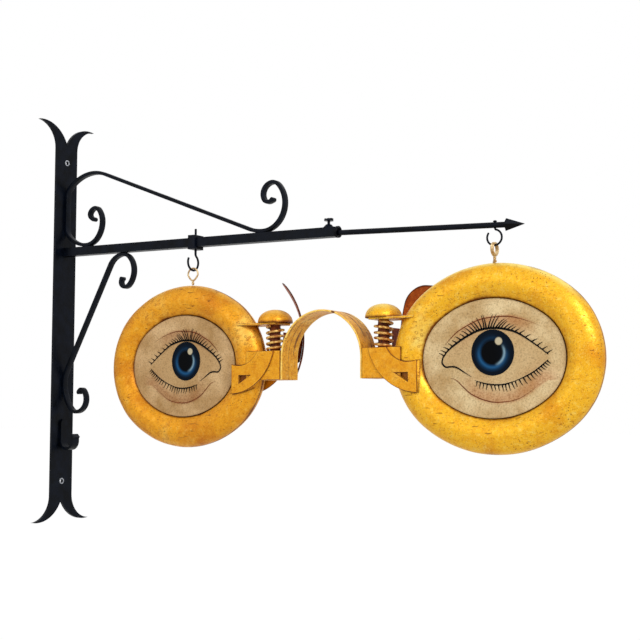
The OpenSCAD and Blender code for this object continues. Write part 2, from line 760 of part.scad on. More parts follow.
spring_faces = concat(
    [for (k = [1 : spring_sides - 2]) [0, k, k + 1]],
    [for (i = [0 : rings - 2], k = [0 : spring_sides - 1]) each [
        [i * spring_sides + k, (i + 1) * spring_sides + k, i * spring_sides + next_side(k)],
        [i * spring_sides + next_side(k), (i + 1) * spring_sides + k,
            (i + 1) * spring_sides + next_side(k)]]],
    [for (k = [1 : spring_sides - 2])
        [(rings - 1) * spring_sides, (rings - 1) * spring_sides + k + 1,
            (rings - 1) * spring_sides + k]]);
spring_gap = min([for (i = [0 : rings - 1], j = [0 : rings - 1])
    if (j > i + spring_steps / 2) norm(spring_way[i] - spring_way[j])]) - spring_wire;
echo(least_gap_between_spring_curls = spring_gap);

module coil_spring() {
    polyhedron(points = spring_points, faces = spring_faces, convexity = 6);
}

// The strip straddles the rim's outer half and ends before the middle of its section
module tie_plate() {
    difference() {
        translate([post_u - dome_d / 4, -tie_w / 2, post_top])
            cube([tie_reach + dome_d / 4, tie_w, tie_t]);
        rim_solid(seat_gap);
        translate([lens_u, 0, 0]) rotate([quarter_turn, 0, 0])
            linear_extrude(2 * tie_w, center = true)
                polygon(oval_points(path_a, path_b, oval_end_r, round_fn));
    }
}

module post_dome() {
    ball_r = (pow(dome_d / 2, 2) + pow(dome_h, 2)) / (2 * dome_h);
    translate([post_u, 0, dome_z]) difference() {
        intersection() {
            translate([0, 0, dome_h - ball_r]) sphere(r = ball_r, $fn = round_fn);
            cylinder(d = 2 * dome_d, h = dome_h, $fn = small_fn);
        }
        intersection() {
            translate([0, 0, dome_h - ball_r])
                sphere(r = ball_r - dome_sheet, $fn = round_fn);
            translate([0, 0, -overcut])
                cylinder(d = 2 * dome_d, h = dome_h + overcut, $fn = small_fn);
        }
    }
}

// Puts the pad upright at its place: X along its width, Y along its face's normal
module at_pad(drop) {
    translate([pad_u, pad_y, -drop]) rotate([0, 0, quarter_turn - pad_flare]) children();
}

module pad_corner_outline() {
    w = pad_w - 2 * pad_corner_r;
    h = pad_h - 2 * pad_corner_r;
    union() {
        square([pad_w, h], center = true);
        square([w, pad_h], center = true);
        for (a = [-1, 1], b = [-1, 1]) translate([a * w / 2, b * h / 2])
            circle(r = pad_corner_r, $fn = small_fn);
    }
}

module nose_pad(drop) {
    at_pad(drop) intersection() {
        translate([-pad_w, -pad_bend_r, pad_mid_z]) rotate([0, quarter_turn, 0])
            difference() {
                cylinder(r = pad_bend_r, h = 2 * pad_w, $fn = 2 * round_fn);
                translate([0, 0, -overcut])
                    cylinder(r = pad_bend_r - pad_t, h = 2 * (pad_w + overcut),
                        $fn = 2 * round_fn);
            }
        translate([0, pad_t, pad_h / 2 - pad_low]) rotate([quarter_turn, 0, 0])
            linear_extrude(pad_bend_r) pad_corner_outline();
    }
}

module pad_arm(drop) {
    start_y = cheek_y + cheek_t;
    difference() {
        translate([post_u + pad_arm_t, start_y, 0]) rotate([quarter_turn, 0, -quarter_turn])
            linear_extrude(pad_arm_t) polygon([[0, block_low / 2], [0, pad_arm_top],
                [-pad_y, pad_arm_top], [-pad_y, pad_arm_top / 2]]);
        at_pad(drop) translate([-2 * pad_w, -pad_bend_r, pad_mid_z]) rotate([0, quarter_turn, 0])
            difference() {
                cylinder(r = 3 * pad_bend_r, h = 4 * pad_w, $fn = 2 * round_fn);
                translate([0, 0, -overcut])
                    cylinder(r = pad_bend_r - pad_t - seat_gap, h = 4 * pad_w + 2 * overcut,
                        $fn = 2 * round_fn);
            }
    }
}

// The eye that hangs on the sleeve's hook stands in the X-Z plane
module inner_eye() {
    eye_u = clip_x - sign_x;
    foot = frame_z + oval_top(path_a + mid_r, path_b + mid_r, oval_end_r + mid_r,
        eye_u + lens_u) + seat_gap;
    low = inner_eye_z - inner_eye_r;
    translate([clip_x, -clip_hook_offset, 0]) union() {
        translate([0, 0, inner_eye_z]) rotate([quarter_turn, 0, 0])
            rotate_extrude($fn = round_fn)
                translate([inner_eye_r, 0]) circle(d = eye_wire, $fn = small_fn);
        translate([0, 0, foot]) cylinder(d = stem_w, h = low - foot, $fn = small_fn);
    }
}

// The eye on the rod's hook is wound twice and stands in the Y-Z plane
module outer_eye() {
    foot = frame_z + oval_top(path_a + mid_r, path_b + mid_r, oval_end_r + mid_r,
        rod_hook_x - sign_x - lens_u) + seat_gap;
    low = outer_eye_z - outer_eye_r;
    translate([rod_hook_x - rod_hook_offset, 0, 0]) union() {
        for (s = [-1, 1]) translate([s * turn_pitch / 2, 0, outer_eye_z])
            rotate([0, quarter_turn, 0]) rotate_extrude($fn = round_fn)
                translate([outer_eye_r, 0]) circle(d = eye_wire, $fn = small_fn);
        translate([0, 0, foot]) cylinder(d = stem_w, h = low - foot, $fn = small_fn);
    }
}

module frame_color(side) {
    color(side < 0 ? old_gold : gold) children();
}

wall_plate();
arm_tube();
tube_collar();
screw_boss();
upper_brace();
lower_brace();
cord_cleat();
screw_shank();
screw_knob();
extension_rod();
arrow_point();
rod_hook();
arm_sleeve();
sleeve_hook();
sleeve_pin();
bridge_arch();
color(wire_gold) inner_eye();  // left_hanging_eye
color(wire_gold) outer_eye();  // right_hanging_eye
for (side = [left, right]) {
    name = side < 0 ? "left_" : "right_";
    pad_drop = side < 0 ? 0 : right_pad_drop;
    frame_color(side) at_frames(side) rim_shell(front);
    frame_color(side) at_frames(side) rim_shell(back);
    color(cream) at_frames(side) painted_panel(front);
    color(cream) at_frames(side) painted_panel(back);
    frame_color(side) at_frames(side) bridge_block();
    frame_color(side) at_frames(side) cheek_plate(front);
    frame_color(side) at_frames(side) cheek_plate(back);
    color(red_brown) at_frames(side) spring_post();
    color(wire_gold) at_frames(side) coil_spring();
    frame_color(side) at_frames(side) tie_plate();
    frame_color(side) at_frames(side) post_dome();
    color(red_brown) at_frames(side) pad_arm(pad_drop);
    color(rust) at_frames(side) nose_pad(pad_drop);
}
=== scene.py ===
import bmesh
import bpy
import numpy as np
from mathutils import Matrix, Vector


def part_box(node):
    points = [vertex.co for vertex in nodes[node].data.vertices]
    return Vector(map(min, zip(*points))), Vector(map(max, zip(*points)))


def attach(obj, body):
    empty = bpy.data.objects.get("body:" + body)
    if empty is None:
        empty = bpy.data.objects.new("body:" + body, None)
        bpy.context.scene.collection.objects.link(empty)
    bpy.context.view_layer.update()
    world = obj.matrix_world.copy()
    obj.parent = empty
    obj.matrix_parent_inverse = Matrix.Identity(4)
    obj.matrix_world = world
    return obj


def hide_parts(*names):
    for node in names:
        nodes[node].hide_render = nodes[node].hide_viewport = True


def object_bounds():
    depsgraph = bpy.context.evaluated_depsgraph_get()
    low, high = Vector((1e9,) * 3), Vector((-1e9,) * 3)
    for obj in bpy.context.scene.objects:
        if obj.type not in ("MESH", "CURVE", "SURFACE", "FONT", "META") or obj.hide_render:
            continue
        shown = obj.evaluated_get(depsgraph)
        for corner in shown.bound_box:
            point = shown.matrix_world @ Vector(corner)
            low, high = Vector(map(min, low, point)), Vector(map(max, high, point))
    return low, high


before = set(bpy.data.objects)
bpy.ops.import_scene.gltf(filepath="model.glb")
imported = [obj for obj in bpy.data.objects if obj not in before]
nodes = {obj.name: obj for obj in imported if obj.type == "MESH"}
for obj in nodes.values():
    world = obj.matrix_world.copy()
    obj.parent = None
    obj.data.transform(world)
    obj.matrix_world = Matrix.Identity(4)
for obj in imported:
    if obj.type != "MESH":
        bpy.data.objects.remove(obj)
cadBox = [list(corner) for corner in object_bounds()]
scene = bpy.context.scene
mm = 0.001
perMetre = 1000  # a pattern of n mm has the scale perMetre / n
fullTurn = 2 * np.pi
print("frame loaded:", len(nodes), "nodes")


def toLinear(hexColor):
    # sRGB hex to a linear colour with alpha
    part = np.array([int(hexColor[i:i + 2], 16) for i in (1, 3, 5)]) / 255
    linear = np.where(part <= 0.04045, part / 12.92, ((part + 0.055) / 1.055) ** 2.4)
    return (*linear.tolist(), 1.0)


def addNode(tree, kind, inputs=None, stops=None, out=0, **settings):
    # one shader node with its settings, its links and, for a ramp, its colour stops;
    # gives back the output that out names or numbers
    node = tree.nodes.new(kind)
    for key, value in settings.items():
        setattr(node, key, value)
    for key, value in (inputs or {}).items():
        if isinstance(value, bpy.types.NodeSocket):
            tree.links.new(value, node.inputs[key])
        else:
            node.inputs[key].default_value = value
    if stops:
        elements = node.color_ramp.elements
        while len(elements) < len(stops):
            elements.new(0.5)
        for element, (place, color) in zip(elements, stops):
            element.position = place
            element.color = toLinear(color)
    return node.outputs[out] if node.outputs else None


def newMaterial(name):
    material = bpy.data.materials.new(name)
    material.use_nodes = True
    material.node_tree.nodes.clear()
    return material, material.node_tree


def smoothStep(value, low, high):
    # 0 below low, 1 above high, and a smooth S between them
    part = np.clip((value - low) / (high - low), 0, 1)
    return part * part * (3 - 2 * part)


def bell(distance, width):
    # 1 at no distance, falling off like a bell some width wide
    return np.exp(-(distance / width) ** 2)


def ripple(points, size, seed):
    # the mean of eight sine waves of random direction, each about size long: -1 to 1
    rng = np.random.default_rng(seed)
    count = 8
    axes = rng.normal(size=(count, 3))
    axes /= np.linalg.norm(axes, axis=1)[:, None] * size * rng.uniform(0.7, 1.6, (count, 1))
    return np.sin(points @ axes.T * fullTurn + rng.uniform(0, fullTurn, count)).mean(axis=-1)


def addPiece(name, mesh, materials, body, instead=()):
    # hangs a finished mesh on its body, with its materials, and in place of CAD nodes
    mesh.polygons.foreach_set("use_smooth", np.ones(len(mesh.polygons), bool))
    for material in materials:
        mesh.materials.append(material)
    piece = bpy.data.objects.new(name, mesh)
    scene.collection.objects.link(piece)
    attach(piece, body)
    if instead:
        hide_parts(*instead)
    return piece


def faceOut(mesh):
    # the signed volume under the triangles tells whether the skin is inside out
    mesh.calc_loop_triangles()
    triangles = np.empty(len(mesh.loop_triangles) * 3, np.int32)
    mesh.loop_triangles.foreach_get("vertices", triangles)
    place = np.empty(len(mesh.vertices) * 3)
    mesh.vertices.foreach_get("co", place)
    a, b, c = (place.reshape(-1, 3)[triangles.reshape(-1, 3)[:, k]] for k in range(3))
    if np.einsum("ij,ij->", a, np.cross(b, c)) < 0:
        mesh.flip_normals()


def gridPiece(name, points, materials, body, instead=(), closedAlong=False,
              attributes=None, sharp=None):
    # a closed skin over rows of points (rows, columns, 3) in mm; each row is a closed ring,
    # and the first and last rows are shut by a fan unless the rows themselves go round
    rows, columns = points.shape[:2]
    index = np.arange(rows * columns).reshape(rows, columns)
    around = np.hstack([index, index[:, :1]])
    if closedAlong:
        around = np.vstack([around, around[:1]])
    faces = np.stack([around[:-1, :-1], around[:-1, 1:], around[1:, 1:], around[1:, :-1]],
                     axis=-1).reshape(-1, 4).tolist()
    corners = points.reshape(-1, 3)
    values = {key: value.reshape(-1) for key, value in (attributes or {}).items()}
    if not closedAlong:
        corners = np.vstack([corners, points[0].mean(axis=0), points[-1].mean(axis=0)])
        ring = np.arange(columns)
        following = (ring + 1) % columns
        first = np.full(columns, rows * columns)
        last = (rows - 1) * columns
        faces += np.stack([first, following, ring], axis=1).tolist()
        faces += np.stack([first + 1, last + ring, last + following], axis=1).tolist()
        values = {key: np.concatenate([value, [value[:columns].mean(), value[-columns:].mean()]])
                  for key, value in values.items()}
    mesh = bpy.data.meshes.new(name)
    mesh.from_pydata((corners * mm).tolist(), [], faces)
    mesh.update()
    faceOut(mesh)
    for key, value in values.items():
        stored = mesh.attributes.new(key, "FLOAT", "POINT")
        stored.data.foreach_set("value", value.astype(np.float32))
    piece = addPiece(name, mesh, materials, body, instead)
    if sharp:
        mesh.set_sharp_from_angle(angle=np.radians(sharp))
    return piece


def softened(node, materials, body, width, crease=32):
    # a copy of the CAD solid with its flats made whole and its edges rounded by width mm;
    # a second material goes on the rounded edges
    mesh = nodes[node].data.copy()
    mesh.materials.clear()
    form = bmesh.new()
    form.from_mesh(mesh)
    bmesh.ops.remove_doubles(form, verts=form.verts, dist=1e-6)
    bmesh.ops.dissolve_limit(form, angle_limit=np.radians(0.5), verts=form.verts,
                             edges=form.edges)
    form.to_mesh(mesh)
    form.free()
    faceOut(mesh)
    piece = addPiece(node + "_form", mesh, materials, body, (node,))
    mesh.set_sharp_from_angle(angle=np.radians(crease))
    bevel = piece.modifiers.new("roundedEdges", "BEVEL")
    bevel.width = width * mm
    bevel.segments = 2
    bevel.limit_method = "ANGLE"
    bevel.angle_limit = np.radians(crease)
    bevel.harden_normals = True
    bevel.material = 1 if len(materials) > 1 else -1


def unit(vectors):
    # the same directions at length 1
    return vectors / np.linalg.norm(vectors, axis=-1)[..., None]


def carried(path, profile, side):
    # the profile's (x, y) points carried along a path: x along the side vector, y along
    # the path's own normal, which is its direction crossed with the side vector
    ahead = unit(np.gradient(path, axis=0))
    side = np.broadcast_to(side, ahead.shape)
    normal = unit(np.cross(ahead, side))
    return (path[:, None] + profile[..., :1] * side[:, None]
            + profile[..., 1:] * normal[:, None])


def roundBar(width, height, radius, corner=4):
    # a rectangle with round corners: quarter circles about four centres, one closed ring
    angles = np.linspace(0, np.pi / 2, corner + 1)
    signs = [(1, 1), (-1, 1), (-1, -1), (1, -1)]
    return np.vstack([np.stack([sx * (width / 2 - radius) + radius * np.cos(angles + start),
                                sy * (height / 2 - radius) + radius * np.sin(angles + start)],
                               axis=1)
                      for (sx, sy), start in zip(signs, np.arange(4) * np.pi / 2)])


def turnsOf(count):
    # angles once round, the last one short of a full turn
    return np.arange(count) * fullTurn / count


def circle(count):
    return np.stack([np.cos(turnsOf(count)), np.sin(turnsOf(count))], axis=1)


def splineThrough(points, count):
    # a Catmull-Rom curve: each stretch blends its four nearest points by cubic weights
    points = np.asarray(points, float)
    padded = np.vstack([2 * points[0] - points[1], points, 2 * points[-1] - points[-2]])
    place = np.linspace(0, len(points) - 1, count)
    start = np.minimum(place.astype(int), len(points) - 2)
    t = (place - start)[:, None]
    p0, p1, p2, p3 = (padded[start + k] for k in range(4))
    return 0.5 * (2 * p1 + (p2 - p0) * t + (2 * p0 - 5 * p1 + 4 * p2 - p3) * t ** 2
                  + (3 * p1 - p0 - 3 * p2 + p3) * t ** 3)


def even(path, step):
    # the same path with its points step mm apart along its length
    length = np.concatenate([[0], np.cumsum(np.linalg.norm(np.diff(path, axis=0), axis=1))])
    wanted = np.linspace(0, length[-1], max(int(length[-1] / step), 2))
    return np.stack([np.interp(wanted, length, path[:, k]) for k in range(path.shape[1])],
                    axis=1)


ironPaint = {"deep": "#020409", "worn": "#0d131f", "patch": 16.667, "hammer": 22,
             "hammerDeep": 1.2, "grain": 1.6, "grainDeep": 0.3, "rough": 0.36}


def paintedIron(name, settings):
    # forged bar under old black paint: near-black, faintly blue, with a broad soft sheen
    # and shallow hammer marks about 22 mm apart; the paint's grain is drawn at 1.6 mm
    material, tree = newMaterial(name)
    place = addNode(tree, "ShaderNodeTexCoord", out="Object")
    mottle = addNode(tree, "ShaderNodeTexNoise", {
        "Vector": place, "Scale": perMetre / settings["patch"], "Detail": 5, "Roughness": 0.6})
    color = addNode(tree, "ShaderNodeValToRGB", {"Fac": mottle},
                    [(0.35, settings["deep"]), (0.75, settings["worn"])])
    hammer = addNode(tree, "ShaderNodeTexNoise", {
        "Vector": place, "Scale": perMetre / settings["hammer"], "Detail": 2})
    grain = addNode(tree, "ShaderNodeTexNoise", {
        "Vector": place, "Scale": perMetre / settings["grain"], "Detail": 3})
    dents = addNode(tree, "ShaderNodeBump", {"Height": hammer, "Strength": 0.5,
                                             "Distance": settings["hammerDeep"] * mm})
    bump = addNode(tree, "ShaderNodeBump", {"Height": grain, "Strength": 0.35, "Normal": dents,
                                            "Distance": settings["grainDeep"] * mm})
    rough = addNode(tree, "ShaderNodeMapRange", {
        "Value": mottle, "To Min": settings["rough"] - 0.1, "To Max": settings["rough"] + 0.12})
    shader = addNode(tree, "ShaderNodeBsdfPrincipled", {
        "Base Color": color, "Roughness": rough, "Specular IOR Level": 0.08, "Normal": bump})
    addNode(tree, "ShaderNodeOutputMaterial", {"Surface": shader})
    return material


brightGold = {"body": "#f3b623", "warm": "#dd9212", "pale": "#fadb70", "brown": "#7c400f",
              "speck": "#a8640e", "pits": 0.85, "rough": 0.34, "specks": 0.8}
oldGold = {"body": "#e99f1c", "warm": "#c9760e", "pale": "#f6c254", "brown": "#6a320c",
           "speck": "#94530c", "pits": 0.9, "rough": 0.38, "specks": 0.75}
crackledGold = {"body": "#e6a11f", "warm": "#a95a11", "pale": "#f9d06a", "brown": "#5c270a",
                "speck": "#84450c", "pits": 0.95, "rough": 0.4, "specks": 0.95}
smoothGold = {"body": "#e39b1a", "warm": "#c4720d", "pale": "#f7c44f", "brown": "#6a320c",
              "speck": "#a9640f", "pits": 0.5, "rough": 0.38, "specks": 0.5}
rustedSheet = {"body": "#b0500f", "warm": "#8a360a", "pale": "#d57a26", "brown": "#2b0e05",
               "speck": "#6d2808", "pits": 0.8, "rough": 0.5, "specks": 0.7}

# sizes in mm of the marks on aged sheet; a scratch has one for each of its directions and
# is turned by three angles in radians
sheetMarks = {"cloud": 66.667, "mottle": 9.091, "speck": 2.7778, "fine": 1.5625,
              "holes": 45.4545, "hole": 3.84615, "blister": 6.89655, "corner": 8,
              "scratch": (16.6667, 4.16667, 2.38095), "scratchTurn": (0.2, 0.3, 0.5),
              "mottleDeep": 0.9, "speckDeep": 0.3}


def gildedSheet(name, settings):
    # sheet metal gilded by hand and aged under varnish, so satin and uneven: clouds of
    # warm and pale gold, mottling, fine brown and pale specks, short scratches, pin-holes,
    # small blister rings, grime and painted shade in corners, and brown where the value lip
    # rises, which on some pieces also carries painted shadow and shade; the value worn is
    # where a painted highlight makes the leaf paler
    material, tree = newMaterial(name)
    place = addNode(tree, "ShaderNodeTexCoord", out="Object")
    lip, worn = (addNode(tree, "ShaderNodeAttribute", out="Fac", attribute_name=key)
                 for key in ("lip", "worn"))
    clouds, mottle, speck, fine, holeField = (
        addNode(tree, "ShaderNodeTexNoise", {
            "Vector": place, "Scale": perMetre / sheetMarks[key], "Detail": detail,
            "Roughness": rough})
        for key, detail, rough in (("cloud", 3, 0.55), ("mottle", 6, 0.65), ("speck", 4, 0.75),
                                   ("fine", 3, 0.7), ("holes", 3, 0.5)))
    hole, blister = (addNode(tree, "ShaderNodeTexVoronoi", {
        "Vector": place, "Scale": perMetre / sheetMarks[key]}) for key in ("hole", "blister"))
    stretched = addNode(tree, "ShaderNodeMapping", {
        "Vector": place, "Rotation": sheetMarks["scratchTurn"],
        "Scale": [perMetre / size for size in sheetMarks["scratch"]]})
    scratch = addNode(tree, "ShaderNodeTexNoise", {"Vector": stretched, "Scale": 1.0,
                                                   "Detail": 2, "Roughness": 0.5})
    # ambient occlusion: brown in corners and between parts, grime and painted shade
    cornerGrimeAndShade = addNode(tree, "ShaderNodeAmbientOcclusion",
                   {"Distance": sheetMarks["corner"] * mm}, out="AO", samples=6)
    # how much of each mark shows: its pattern, the values where it starts and is full
    share = {key: addNode(tree, "ShaderNodeMapRange", {
        "Value": pattern, "From Min": start, "From Max": full, "To Max": most})
        for key, pattern, start, full, most in (
            ("warm", mottle, 0.5, 0.68, 0.6), ("pale", mottle, 0.44, 0.3, 0.5),
            ("speck", speck, 0.54, 0.68, settings["specks"]), ("fine", fine, 0.45, 0.32, 0.5),
            ("paleHighlight", mottle, 0.3, 0.62, 1.0), ("hole", hole, 0.27, 0.13, 1.0),
            ("holes", holeField, 0.55, 0.64, 1.0), ("scratch", scratch, 0.66, 0.74, 0.8),
            ("ringOut", blister, 0.36, 0.3, 1.0), ("ringIn", blister, 0.18, 0.26, 1.0),
            ("rings", clouds, 0.56, 0.66, 0.55), ("corner", cornerGrimeAndShade, 0.6, 0.15, 0.6))}
    # painted highlight: paler where the value worn rises, broken up by the mottling
    paleHighlight = addNode(tree, "ShaderNodeMath", {0: worn, 1: share["paleHighlight"]},
                     operation="MULTIPLY")
    # pin-holes stay in their fields and blister rings in patches; the strongest mark wins
    holes = addNode(tree, "ShaderNodeMath", {0: share["hole"], 1: share["holes"]},
                    operation="MULTIPLY")
    rings = addNode(tree, "ShaderNodeMath", {0: share["ringOut"], 1: share["ringIn"]},
                    operation="MULTIPLY")
    rings = addNode(tree, "ShaderNodeMath", {0: rings, 1: share["rings"]},
                    operation="MULTIPLY")
    marks = addNode(tree, "ShaderNodeMath", {0: holes, 1: share["scratch"]},
                    operation="MAXIMUM")
    marks = addNode(tree, "ShaderNodeMath", {0: marks, 1: rings}, operation="MAXIMUM")
    marks = addNode(tree, "ShaderNodeMath", {0: marks, 1: settings["pits"]},
                    operation="MULTIPLY")
    # grime and painted shade: on the lip, broken up by the noises, then the marks and the
    # corners' painted shade as well
    broken = addNode(tree, "ShaderNodeMath", {0: speck, 1: mottle}, operation="ADD")
    onLip = addNode(tree, "ShaderNodeMath", {0: lip, 1: broken}, operation="MULTIPLY")
    grimeAndShade = addNode(tree, "ShaderNodeMapRange", {"Value": onLip, "From Min": 0.1,
                                                 "From Max": 0.95, "To Max": 0.95})
    for dark in (marks, share["corner"]):
        grimeAndShade = addNode(tree, "ShaderNodeMath", {0: grimeAndShade, 1: dark}, operation="MAXIMUM")
    color = addNode(tree, "ShaderNodeValToRGB", {"Fac": clouds},
                    [(0.3, settings["warm"]), (0.46, settings["body"]),
                     (0.6, settings["body"]), (0.76, settings["pale"])])
    for amount, tone in ((share["warm"], "warm"), (share["pale"], "pale"),
                         (share["speck"], "speck"), (share["fine"], "pale"),
                         (paleHighlight, "pale"), (grimeAndShade, "brown")):
        color = addNode(tree, "ShaderNodeMix", {
            0: amount, 6: color, 7: toLinear(settings[tone])}, out=2, data_type="RGBA")
    relief = addNode(tree, "ShaderNodeMath", {0: mottle, 1: marks}, operation="SUBTRACT")
    dents = addNode(tree, "ShaderNodeBump", {"Height": relief, "Strength": 0.45,
                                             "Distance": sheetMarks["mottleDeep"] * mm})
    bump = addNode(tree, "ShaderNodeBump", {"Height": speck, "Strength": 0.35, "Normal": dents,
                                            "Distance": sheetMarks["speckDeep"] * mm})
    rough = addNode(tree, "ShaderNodeMapRange", {
        "Value": mottle, "To Min": settings["rough"] - 0.1, "To Max": settings["rough"] + 0.16})
    shader = addNode(tree, "ShaderNodeBsdfPrincipled", {
        "Base Color": color, "Metallic": 0.3, "Specular IOR Level": 0.16, "Roughness": rough,
        "Normal": bump})
    addNode(tree, "ShaderNodeOutputMaterial", {"Surface": shader})
    return material


finishGrain = {"size": 1.2, "deep": 0.3}


def plainFinish(name, low, high, size, rough, metal=0.0, gloss=0.2):
    # a paint, rust or rubbed metal whose two colours meet in soft patches size mm wide; its
    # grain is drawn at 1.2 mm
    material, tree = newMaterial(name)
    place = addNode(tree, "ShaderNodeTexCoord", out="Object")
    patches = addNode(tree, "ShaderNodeTexNoise", {
        "Vector": place, "Scale": perMetre / size, "Detail": 6, "Roughness": 0.62})
    color = addNode(tree, "ShaderNodeValToRGB", {"Fac": patches}, [(0.36, low), (0.66, high)])
    grain = addNode(tree, "ShaderNodeTexNoise", {
        "Vector": place, "Scale": perMetre / finishGrain["size"], "Detail": 4})
    bump = addNode(tree, "ShaderNodeBump", {"Height": grain, "Strength": 0.4,
                                            "Distance": finishGrain["deep"] * mm})
    shader = addNode(tree, "ShaderNodeBsdfPrincipled", {
        "Base Color": color, "Roughness": rough, "Metallic": metal,
        "Specular IOR Level": gloss, "Normal": bump})
    addNode(tree, "ShaderNodeOutputMaterial", {"Surface": shader})
    return material


creamCoat = {"light": "#e6cd9d", "dull": "#bf9c68", "speck": "#6b4f2d", "blush": "#ae5d2c",
             "white": "#c9a775", "crease": "#6b3a18"}
tannedCoat = {"light": "#dbb786", "dull": "#b18a57", "speck": "#5f4326", "blush": "#94532c",
              "white": "#c09b69", "crease": "#6b3413"}
paintMarks = {"cloud": 38.4615, "speck": 2.32558, "deep": 0.3}


def signPaint(name, settings):
    # matt cream oil paint, dirty and slightly grained: 40 mm clouds and 2 mm specks, a
    # darker eye white, warm red-brown shading where the value blush rises and a brown line
    # where lip rises
    material, tree = newMaterial(name)
    place = addNode(tree, "ShaderNodeTexCoord", out="Object")
    blush, white, lip = (addNode(tree, "ShaderNodeAttribute", out="Fac", attribute_name=key)
                         for key in ("blush", "eyeWhite", "lip"))
    clouds, specks = (addNode(tree, "ShaderNodeTexNoise", {
        "Vector": place, "Scale": perMetre / paintMarks[key], "Detail": detail,
        "Roughness": rough}) for key, detail, rough in (("cloud", 4, 0.6), ("speck", 5, 0.8)))
    whitened, warmed, line = (
        addNode(tree, "ShaderNodeMath", {0: first, 1: second}, operation="MULTIPLY")
        for first, second in ((white, 0.65), (blush, specks), (lip, clouds)))
    dirt, edge = (addNode(tree, "ShaderNodeMapRange", {
        "Value": pattern, "From Min": start, "From Max": full, "To Max": most})
        for pattern, start, full, most in ((specks, 0.48, 0.72, 0.7), (line, 0.1, 0.75, 0.4)))
    color = addNode(tree, "ShaderNodeValToRGB", {"Fac": clouds},
                    [(0.34, settings["dull"]), (0.66, settings["light"])])
    for amount, tone in ((whitened, "white"), (warmed, "blush"), (dirt, "speck"),
                         (edge, "crease")):
        color = addNode(tree, "ShaderNodeMix", {
            0: amount, 6: color, 7: toLinear(settings[tone])}, out=2, data_type="RGBA")
    bump = addNode(tree, "ShaderNodeBump", {"Height": specks, "Strength": 0.3,
                                            "Distance": paintMarks["deep"] * mm})
    shader = addNode(tree, "ShaderNodeBsdfPrincipled", {
        "Base Color": color, "Roughness": 0.6, "Specular IOR Level": 0.12, "Normal": bump})
    addNode(tree, "ShaderNodeOutputMaterial", {"Surface": shader})
    return material


irisCoat = {"navy": "#0a121c", "blue": "#102c47", "bright": "#215480", "pupil": "#050608",
            "glow": "#8fb2c4", "glint": "#c2b697", "grain": 3.3333, "deep": 0.2}


def irisPaint(name, settings):
    # smooth oil paint in rings round a black pupil: the value ring is 0 in the middle and 1
    # at the edge, shade darkens it to navy, and glow and glint are its two lights
    material, tree = newMaterial(name)
    ring, shade, glow, glint = (
        addNode(tree, "ShaderNodeAttribute", out="Fac", attribute_name=key)
        for key in ("ring", "shade", "glow", "glint"))
    place = addNode(tree, "ShaderNodeTexCoord", out="Object")
    grain = addNode(tree, "ShaderNodeTexNoise", {
        "Vector": place, "Scale": perMetre / settings["grain"], "Detail": 4})
    color = addNode(tree, "ShaderNodeValToRGB", {"Fac": ring},
                    [(0.5, settings["pupil"]), (0.55, settings["blue"]),
                     (0.64, settings["bright"]), (0.75, settings["blue"]),
                     (0.86, settings["navy"]), (1.0, settings["navy"])])
    for amount, tone in ((shade, "navy"), (glow, "glow"), (glint, "glint")):
        color = addNode(tree, "ShaderNodeMix", {
            0: amount, 6: color, 7: toLinear(settings[tone])}, out=2, data_type="RGBA")
    bump = addNode(tree, "ShaderNodeBump", {"Height": grain, "Strength": 0.15,
                                            "Distance": settings["deep"] * mm})
    shader = addNode(tree, "ShaderNodeBsdfPrincipled", {
        "Base Color": color, "Roughness": 0.5, "Specular IOR Level": 0.03, "Normal": bump})
    addNode(tree, "ShaderNodeOutputMaterial", {"Surface": shader})
    return material


blackIron = paintedIron("blackPaintedIron", ironPaint)
rimGold = gildedSheet("brightGiltSheet", brightGold)
rimOldGold = gildedSheet("oldGiltSheet", oldGold)
archGold = gildedSheet("crackledGiltStrap", crackledGold)
cheekGold = gildedSheet("smoothGiltPlate", smoothGold)
# leaf rubbed through to brown bole on a cut edge: pale and dark by turns, half shiny; the
# pale patches are also painted highlights and the dark ones painted shadow lines
edgeWearAndLight = plainFinish("giltEdgeWearAndLight", "#7a3d0d", "#fbd475", 9, 0.45, 0.1)
# a dull brown outline on a cut edge: varnish and soot gathered there, and a painted
# shadow line along the plate's edge
grimeAndShadowEdge = plainFinish("grimeAndShadowBrownEdge", "#4a1d08", "#a55f1c", 12, 0.55)
# steel scraped bare by a screw: light grey, slightly shiny
bareSteel = plainFinish("bareSteelRim", "#7d8188", "#c9ccd2", 3, 0.35, 0.4)
# soft steel wire under thin pale gilding, worn darker in places
giltWire = plainFinish("giltWire", "#a3743a", "#efd6a4", 6, 0.36, 0.2)
# gilded spring wire: bright on top, with red-brown rust between
springWire = plainFinish("giltSpringWire", "#9a4f12", "#fdd77c", 6, 0.36, 0.15)
# sheet iron with its gilding gone: orange rust, blotched and matt
rustyPad = gildedSheet("rustyOrangeIron", rustedSheet)
# iron under old red-brown primer, matt
redBrown = plainFinish("redBrownIron", "#4f1c0c", "#8a3613", 16, 0.6)
# the same primer with a darker low tone, on the posts inside the springs
coreBrown = plainFinish("darkRedBrownCore", "#3d150b", "#8a4218", 10, 0.55)
facePaint = signPaint("agedCreamSignPaint", creamCoat)
tannedPaint = signPaint("tannedCreamSignPaint", tannedCoat)
irisBlue = irisPaint("blueIrisOilPaint", irisCoat)
# oil paint from a liner brush, matt: black for lids and lashes, brown for creases
lineBlack = plainFinish("blackBrushLine", "#08090c", "#121317", 6, 0.6, gloss=0.04)
lineBrown = plainFinish("brownBrushLine", "#5c2c17", "#8a4526", 8, 0.6, gloss=0.05)
print("materials ready")


